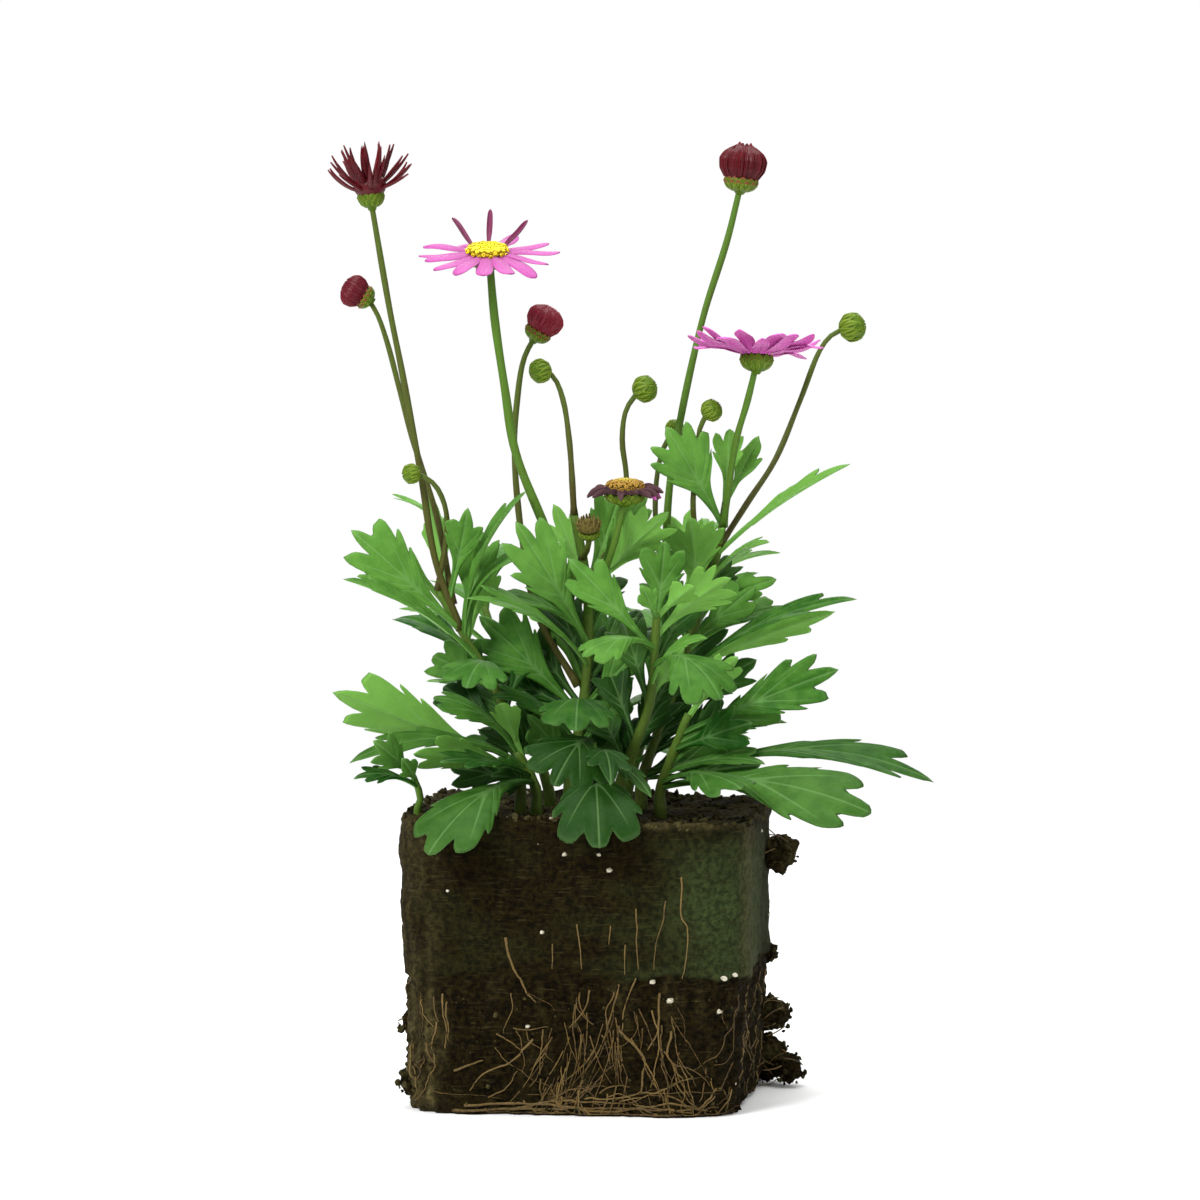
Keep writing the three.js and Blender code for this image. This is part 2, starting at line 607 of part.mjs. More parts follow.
// Open flower: flat petals, with a few at the back standing up
function openPetals(head, seed, backRise) {
  return petalWheel(head, OPEN_PETALS, seed, (turn, i) => {
    const back = Math.max(0, -Math.cos(turn - Math.PI / 2 - 0.4));
    const stands = chance(seed + i * 5) > 0.62 ? back * backRise : 0;
    return {
      outline: STRAP_PETAL,
      start: head.bowl[0] * (stands > 0.3 ? 1.0 : 0.86),
      lift: GAP + 0.5,
      length: OPEN_PETAL_LENGTH * (0.92 + 0.16 * chance(seed + i + 30)),
      width: stands > 0.3 ? ROLLED_WIDTH : OPEN_PETAL_WIDTH,
      thickness: PETAL_THICKNESS,
      slope: 0.1 + stands + 0.16 * (chance(seed + i + 60) - 0.5),
      curl: -0.22 + 0.3 * (chance(seed + i + 80) - 0.5),
    };
  });
}

// Yellow disc: a low dome of florets
function flowerDisc(head, height) {
  const radius = head.bowl[0];
  const at = seen(head.at);
  const low = GAP + 0.9 + GAP;
  const profile = [[low, radius * 0.74], [low + height * 0.45, radius * 0.85]];
  profile.push([low + height * 0.8, radius * 0.64], [low + height, radius * 0.28]);
  return turned(at, vector(head.axis), profile, 14, 0.05);
}

// Half open flower: rolled petals in a brush
function brushPetals(head, seed) {
  let brush = turned(
    seen(head.at),
    vector(head.axis),
    [[GAP, 2.6], [2.4, 3.2], [5.2, 2.0]],
    8,
  );
  for (let i = 0; i < BRUSH_PETALS; i++) {
    const layer = i % 3;
    brush = brush.add(
      petal(seen(head.at), vector(head.axis), i * GOLDEN_TURN, {
        outline: ROLLED_PETAL,
        start: 1.3 + 0.2 * layer,
        lift: 1.4 + 0.8 * (2 - layer),
        length: 8.2 + 1.8 * chance(seed + i),
        width: 1.4,
        thickness: 0.9,
        slope: 0.72 + 0.24 * (2 - layer) + 0.2 * (chance(seed + i + 40) - 0.5),
        curl: -0.1,
      }),
    );
  }
  return oneBody(brush);
}

// Closed bud: petals packed side by side, as ribs that close over the top
function budPetals(head) {
  const r = head.bowl[0];
  const profile = [[GAP, 0.86], [0.5 * r, 1.16], [1.0 * r, 1.2], [1.35 * r, 1.0], [1.62 * r, 0.56]];
  const scaled = profile.map(([height, radius]) => [height, radius * r]);
  return turned(seen(head.at), vector(head.axis), scaled, 18, 0.07);
}

// Faded flower: a ragged ring of dead petals that hang off the dome's edge
function fadedPetals(head, seed) {
  return petalWheel(head, 7, seed, (_, i) => ({
    outline: ROLLED_PETAL,
    start: head.bowl[0] * 0.97,
    lift: GAP + 0.7,
    length: 3.2 + 1.4 * chance(seed + i),
    width: 2.2,
    thickness: 0.8,
    slope: 0.1 + 0.3 * (chance(seed + i + 20) - 0.5),
    curl: -0.25,
  }));
}

// Small spent head: a knob of dry florets
function spentHead(head) {
  const r = head.bowl[0];
  const profile = [[GAP, 0.8], [0.35 * r, 1.15], [0.85 * r, 1.05], [1.15 * r, 0.5]];
  const scaled = profile.map(([height, radius]) => [height, radius * r]);
  return turned(seen(head.at), vector(head.axis), scaled, 12, 0.1);
}

// The green cup under a head, fused to its stalk
function cup(head) {
  const [radius, depth] = head.bowl;
  const profile = [[-depth, 0.36], [-depth * 0.55, 0.85], [0, 0.98]];
  const scaled = profile.map(([height, share]) => [height, share * radius]);
  return turned(seen(head.at), vector(head.axis), scaled, 8, 0.04);
}

function greenBud([, centre, axis, radius]) {
  const profile = [[-0.95, 0.4], [-0.3, 1], [0.5, 0.92], [0.95, 0.36]];
  const scaled = profile.map(([height, share]) => [height * radius, share * radius]);
  return turned(seen(centre), vector(axis), scaled, 8, 0.07);
}

// Root ball

// Distance from the middle to the side of a rounded square, in a direction
function roundedSquare(angle, side) {
  const straight = side / 2 - BALL_CORNER;
  const c = Math.abs(Math.cos(angle));
  const s = Math.abs(Math.sin(angle));
  const flat = side / 2 / Math.max(c, s);
  if (Math.min(c, s) * flat <= straight) {
    return flat;
  }
  const dot = straight * (c + s);
  return dot + Math.sqrt(dot * dot - 2 * straight * straight + BALL_CORNER * BALL_CORNER);
}

// Lumps of the peat: long low waves with a finer grain across them
function peatLumps(angle, height) {
  const broad = Math.sin(3 * angle + 0.07 * height) + Math.sin(5 * angle - 0.11 * height + 2);
  const fine = Math.sin(17 * angle + 0.5 * height) + Math.sin(11 * angle - 0.35 * height + 1);
  return PEAT_RELIEF * (0.55 * broad + 0.45 * fine);
}

// A point of the root ball's side, pushed in below the seam
function ballSide(angle, height) {
  const share = height / BALL_HEIGHT;
  const side = THREE.MathUtils.lerp(BALL_FOOT_SIDE, BALL_TOP_SIDE, share);
  const step = height < SEAM_HEIGHT ? -SEAM_STEP : 0;
  const tuck = height === 0 ? -FOOT_TUCK : 0;
  return roundedSquare(angle, side) + step + tuck + peatLumps(angle, height);
}

function ballPoint(angle, radius, height) {
  const heading = angle + BALL_TURN;
  return new THREE.Vector3(radius * Math.cos(heading), radius * Math.sin(heading), height);
}

function rimHeight(angle) {
  const right = Math.max(0, Math.cos(angle + BALL_TURN));
  const crumbs = Math.sin(9 * angle) * Math.sin(23 * angle + 1);
  return BALL_HEIGHT - RIM_FALL_RIGHT * right + 0.5 * crumbs;
}

function ballBlock() {
  const rings = BALL_LEVELS.map((height) => {
    const ring = [];
    for (let i = 0; i < BALL_POINTS_ROUND; i++) {
      const angle = (i / BALL_POINTS_ROUND) * 2 * Math.PI;
      ring.push(ballPoint(angle, ballSide(angle, height), height));
    }
    return ring;
  });
  for (const [share, dip] of SOIL_RINGS) {
    const ring = [];
    for (let i = 0; i < BALL_POINTS_ROUND; i++) {
      const angle = (i / BALL_POINTS_ROUND) * 2 * Math.PI;
      const lump = share < 1 ? 0.3 * Math.sin(7 * angle + 9 * share) : 0;
      const level = share > 0.5 ? rimHeight(angle) : BALL_HEIGHT;
      const edge = ballSide(angle, BALL_HEIGHT) * share;
      ring.push(ballPoint(angle, edge, level - SOIL_DIP * dip + lump));
    }
    rings.push(ring);
  }
  return loft(rings);
}

// A clod: a faceted lump, sunk into the side
function clod([x, y, z, radius], seed) {
  const shape = new THREE.IcosahedronGeometry(radius);
  shape.deleteAttribute('normal');
  shape.deleteAttribute('uv');
  const lump = mergeVertices(shape, 0.001);
  const place = lump.getAttribute('position');
  const corners = [];
  for (let i = 0; i < place.count; i++) {
    const corner = new THREE.Vector3().fromBufferAttribute(place, i);
    corner.multiplyScalar(0.72 + 0.42 * chance(seed * 40 + i));
    corner.add(new THREE.Vector3(x, y, z));
    corner.z = Math.max(corner.z, 0.4);
    corners.push(corner);
  }
  const triangles = [];
  for (let i = 0; i < lump.index.count; i += 3) {
    triangles.push([0, 1, 2].map((k) => lump.index.getX(i + k)));
  }
  return solidFrom(corners, triangles);
}

// A point on the front face, a little proud of the peat
function onFront([along, height], proud) {
  const angle = -Math.PI / 2 + Math.atan2(along, BALL_TOP_SIDE / 2);
  return ballPoint(angle, ballSide(angle, height) + proud, height);
}

function rootBall() {
  let ball = ballBlock();
  CLODS.forEach((place, i) => {
    ball = ball.add(clod(place, i + 1));
  });
  for (const [radius, route] of FACE_ROOTS) {
    ball = ball.add(stem(route.map((point) => onFront(point, 0.15)), radius, radius * 0.7, 4));
  }
  for (const { foot } of Object.values(SHOOTS)) {
    ball = ball.subtract(footPeg(foot, GAP));
  }
  return oneBody(ball);
}

// The buried end of a shoot, or with extra the plain hole that it stands in
function footPeg([x, y], extra) {
  const radius = 1.9 + extra;
  const low = BALL_HEIGHT - HOLE_DEPTH - extra;
  const high = extra > 0 ? BALL_HEIGHT + 3 : BALL_HEIGHT + 2.6;
  const axis = new THREE.Vector3(0, 0, 1);
  return turned(new THREE.Vector3(x, y, 0), axis, [[low, radius], [high, radius]], 6);
}

// Assembly

const solids = new Map();
const paths = new Map();

function stemsOf(name, plan) {
  const routes = plan.stems.map(([, , points]) => points.map(seen));
  const foot = new THREE.Vector3(plan.foot[0], plan.foot[1], BALL_HEIGHT + 1);
  routes[0] = [foot, ...routes[0]];
  let solid = footPeg(plan.foot, 0);
  plan.stems.forEach(([startRadius, endRadius], i) => {
    const sides = i === 0 ? STEM_SIDES : STALK_SIDES;
    solid = solid.add(stem(routes[i], startRadius, endRadius, sides));
  });
  const curves = routes.map((route) => new THREE.CatmullRomCurve3(route, false, 'centripetal'));
  paths.set(name, curves);
  return solid;
}

solids.set('root_ball', rootBall());
for (const [name, plan] of Object.entries(SHOOTS)) {
  solids.set(name, stemsOf(name, plan));
}
for (const head of Object.values(HEADS)) {
  solids.set(head.on, solids.get(head.on).add(cup(head)));
}
for (const bud of GREEN_BUDS) {
  solids.set(bud[0], solids.get(bud[0]).add(greenBud(bud)));
}
solids.set('bloom_left_petals', openPetals(HEADS.bloom_left, 11, 1.1));
solids.set('bloom_left_disc', flowerDisc(HEADS.bloom_left, 2.2));
solids.set('bloom_right_petals', openPetals(HEADS.bloom_right, 23, 0.5));
solids.set('bloom_right_disc', flowerDisc(HEADS.bloom_right, 2.0));
solids.set('half_open_petals', brushPetals(HEADS.half_open, 5));
solids.set('tall_bud_petals', budPetals(HEADS.tall_bud));
solids.set('left_bud_petals', budPetals(HEADS.left_bud));
solids.set('middle_bud_petals', budPetals(HEADS.middle_bud));
solids.set('faded_petals', fadedPetals(HEADS.faded, 31));
solids.set('faded_disc', flowerDisc(HEADS.faded, 3.4));
solids.set('spent_head', spentHead(HEADS.spent));

function boxesMeet(a, b) {
  return [0, 1, 2].every((k) => a.min[k] <= b.max[k] && b.min[k] <= a.max[k]);
}

// How much of a test solid lies in the other nodes
function overlap(test, own) {
  const box = test.boundingBox();
  let volume = 0;
  for (const [name, solid] of solids) {
    if (name !== own && boxesMeet(box, solid.boundingBox())) {
      volume += test.intersect(solid).volume();
    }
  }
  return volume;
}

// A leaf that would cross another node leans forward or back until it is clear
const stuck = [];
let leafNumber = 0;
for (const [name, plan] of Object.entries(SHOOTS)) {
  leafNumber += 100;
  const curves = paths.get(name);
  const given = (plan.leaves ?? []).map(([outline, base, tip, width, face, arch, bowl], i) => ({
    outline,
    base: nearestOnStems(seen(base), curves),
    tip: seen(tip),
    width,
    face: vector(face),
    arch,
    cup: bowl,
    seed: leafNumber + i * 7,
  }));
  const ring = plan.ring ? ringOfLeaves(plan.ring, curves[0], leafNumber) : [];
  [...given, ...ring].forEach((leaf, i) => {
    const clear = LEANS.filter((way) => overlap(blade(leaf, way, LEAF_CLEARANCE), name) < 1e-4);
    if (clear.length === 0) {
      stuck.push(`${name} leaf ${i}`);
      return;
    }
    const own = solids.get(name);
    const cost = (way) => blade(leaf, way).intersect(own).volume() + LEAN_COST * Math.abs(way);
    const lean = clear.reduce((best, way) => (cost(way) < cost(best) ? way : best));
    solids.set(name, own.add(blade(leaf, lean)));
  });
}
if (stuck.length > 0) {
  throw new Error(`These leaves cross another node: ${stuck.join(', ')}`);
}

// Materials

const PETAL_PINK = { color: 0xc94bb0, roughness: 0.6, metalness: 0 };
const PETAL_DARK = { color: 0x6d1426, roughness: 0.65, metalness: 0 };
const PETAL_RED = { color: 0x9a3346, roughness: 0.65, metalness: 0 };
const DISC_YELLOW = { color: 0xe0cf2a, roughness: 0.7, metalness: 0 };
const DISC_AMBER = { color: 0xd9962b, roughness: 0.8, metalness: 0 };
const DEAD_PETAL = { color: 0x3a1c24, roughness: 0.85, metalness: 0 };
const SPENT_BROWN = { color: 0x6b5a2c, roughness: 0.85, metalness: 0 };
const PEAT = { color: 0x2e2518, roughness: 0.95, metalness: 0 };

function finishOf(name) {
  if (SHOOTS[name]) {
    return { color: SHOOTS[name].colour, roughness: 0.55, metalness: 0 };
  }
  const finishes = {
    root_ball: PEAT,
    bloom_left_petals: PETAL_PINK,
    bloom_left_disc: DISC_YELLOW,
    bloom_right_petals: PETAL_PINK,
    bloom_right_disc: DISC_YELLOW,
    half_open_petals: PETAL_DARK,
    tall_bud_petals: PETAL_DARK,
    left_bud_petals: PETAL_RED,
    middle_bud_petals: PETAL_RED,
    faded_petals: DEAD_PETAL,
    faded_disc: DISC_AMBER,
    spent_head: SPENT_BROWN,
  };
  return finishes[name];
}

function meshOf(name, solid) {
  const { vertProperties, triVerts } = oneBody(solid).getMesh();
  const geometry = new THREE.BufferGeometry();
  geometry.setAttribute('position', new THREE.BufferAttribute(vertProperties, 3));
  geometry.setIndex(new THREE.BufferAttribute(triVerts, 1));
  geometry.computeVertexNormals();
  const mesh = new THREE.Mesh(geometry, new THREE.MeshStandardMaterial(finishOf(name)));
  mesh.name = name;
  return mesh;
}

const daisy = new THREE.Group();
for (const [name, solid] of solids) {
  daisy.add(meshOf(name, solid));
}

export default daisy;
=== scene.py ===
"""Looks of a swan river daisy that stands on its bare root ball.

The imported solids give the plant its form. This script builds every leaf, petal, floret, root and
crumb round them as finer meshes in the same places. Sizes are in millimetres, as in the part's
own source, and a mesh is put in metres when it is made.
"""

import itertools
import logging
import math
from collections.abc import Callable
from dataclasses import dataclass, field
from enum import Enum

import bmesh
import bpy
import numpy as np
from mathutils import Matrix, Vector
from mathutils.bvhtree import BVHTree


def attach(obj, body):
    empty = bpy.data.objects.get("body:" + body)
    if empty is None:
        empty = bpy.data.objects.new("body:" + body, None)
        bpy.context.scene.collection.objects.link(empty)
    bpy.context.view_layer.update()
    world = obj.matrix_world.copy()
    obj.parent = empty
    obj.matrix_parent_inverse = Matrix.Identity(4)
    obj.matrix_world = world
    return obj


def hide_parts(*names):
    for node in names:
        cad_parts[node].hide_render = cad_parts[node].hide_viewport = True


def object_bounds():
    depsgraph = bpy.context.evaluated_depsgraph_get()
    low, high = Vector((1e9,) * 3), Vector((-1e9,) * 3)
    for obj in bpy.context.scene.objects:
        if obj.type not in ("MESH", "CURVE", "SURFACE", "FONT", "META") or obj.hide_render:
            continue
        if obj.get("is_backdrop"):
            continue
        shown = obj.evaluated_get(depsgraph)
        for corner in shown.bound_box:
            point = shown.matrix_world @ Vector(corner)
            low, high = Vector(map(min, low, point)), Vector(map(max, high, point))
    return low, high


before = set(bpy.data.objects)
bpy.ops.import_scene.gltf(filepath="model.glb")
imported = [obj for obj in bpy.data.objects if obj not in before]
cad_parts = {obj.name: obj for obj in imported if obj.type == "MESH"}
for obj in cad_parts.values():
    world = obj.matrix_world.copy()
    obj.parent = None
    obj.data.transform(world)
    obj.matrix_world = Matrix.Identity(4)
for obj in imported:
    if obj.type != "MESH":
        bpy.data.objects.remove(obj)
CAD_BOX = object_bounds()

Array = np.ndarray
Point = tuple[float, float, float]
Values = dict[str, Array]
Pairs = tuple[tuple[float, float], ...]
Socket = bpy.types.NodeSocket
Material = bpy.types.Material

log = logging.getLogger("swan_river_daisy")

# From millimetres to metres, and the distance at which two corners are one
MM = 0.001
WELD = 2e-6

# Root ball, as in the part's source
BALL_TOP_SIDE = 84.0
BALL_FOOT_SIDE = 81.5
BALL_CORNER = 12.0
BALL_HEIGHT = 71.0
BALL_TURN = math.radians(-7)
SEAM_HEIGHT = 33.5
SEAM_STEP = 0.9
SOIL_DIP = 1.6
RIM_FALL_RIGHT = 1.7
PEAT_RELIEF = 0.55
FOOT_TUCK = 1.3

# Leaves and petals, as in the part's source
LEAF_STALK_HALF_WIDTH = 0.75
LEANS = (0, -3, 3, -6, 6, -9, 9, -12, 12, -16, 16)
GOLDEN_TURN = 2.4
OPEN_PETAL_LENGTH = 12.6
OPEN_PETAL_WIDTH = 3.8
ROLLED_WIDTH = 2.2
CUP_GAP = 0.3

# How much slimmer stalks and cups are than in their solids
STALK_SLIM = 0.88
CUP_SLIM = 0.94
CUP_SHALLOW = 0.86

# Heights of a leaf's tip: full painted shade below the first, none at the second, full painted
# light above the third
SHADED_HEIGHT = 74
PLAIN_HEIGHT = 112
LIT_HEIGHT = 150

# Painted shade: extra darkness on the leaves of some shoots
SHADE = {"tuft_front": 0.5, "tuft_left": 0.1, "shoot_middle": 0.08, "tuft_back": 0.2}

# The camera's place, the height that it looks at, and what it takes in there
EYE = (2.4, -1300.0, 187.0)
EYE_AIM_HEIGHT = 121.0
SENSOR = 36.0
FRAME_WIDTH = 292.7

# Ways that the upper face of a leaf looks
FRONT = (0.0, -1.0, 0.25)
UP = (0.0, -0.45, 1.0)
SKY = (0.0, 0.1, 1.0)
UNDER = (0.0, 0.9, 0.45)
UP_LEFT = (-0.75, -0.25, 0.6)
MIDDLING = (0.0, -0.6, 0.8)


class Form(Enum):
    """Outlines of a leaf: how far along the midrib, and how wide, as far as its tip."""

    FAN = ((0, 0.07), (0.2, 0.12), (0.42, 0.3), (0.62, 0.74), (0.82, 1.02), (0.97, 0.8), (1.05, 0))
    SPOON = ((0, 0.1), (0.2, 0.15), (0.38, 0.27), (0.64, 0.84), (0.84, 1.0), (0.97, 0.6), (1.05, 0))
    STRAP = ((0, 0.16), (0.18, 0.22), (0.35, 0.34), (0.6, 0.88), (0.8, 1.0), (0.95, 0.6), (1.03, 0))


class Tone(Enum):
    """How far a stalk has turned from green to brown and from brown to wine red."""

    OLIVE = (0.0, 0.0)
    BROWN = (0.75, 0.0)
    WINE = (0.5, 0.85)


@dataclass(frozen=True)
class Leaf:
    """One leaf of the list that the part's source also holds."""

    form: Form
    base: Point
    tip: Point
    width: float
    face: Point
    arch: float
    cup: float


@dataclass(frozen=True)
class Stalk:
    """A stem or flower stalk: its radius at both ends, its route as seen, and its tone."""

    start: float
    end: float
    route: tuple[Point, ...]
    tone: Tone = Tone.OLIVE


@dataclass(frozen=True)
class Ring:
    """Leaves set round a stem by golden angle.

    They start at a share of the stem. Each has a reach, a rise and a width, and they face a
    direction and a spread in degrees.
    """

    count: int
    start: float
    reach: float
    rise: float
    width: float
    towards: float
    spread: float


@dataclass(frozen=True)
class Shoot:
    """A leafy shoot or tuft: where it stands, its stalks and its leaves."""

    foot: tuple[float, float]
    stalks: tuple[Stalk, ...]
    leaves: tuple[Leaf, ...] = ()
    ring: Ring | None = None


FAN = Form.FAN
SPOON = Form.SPOON
STRAP = Form.STRAP

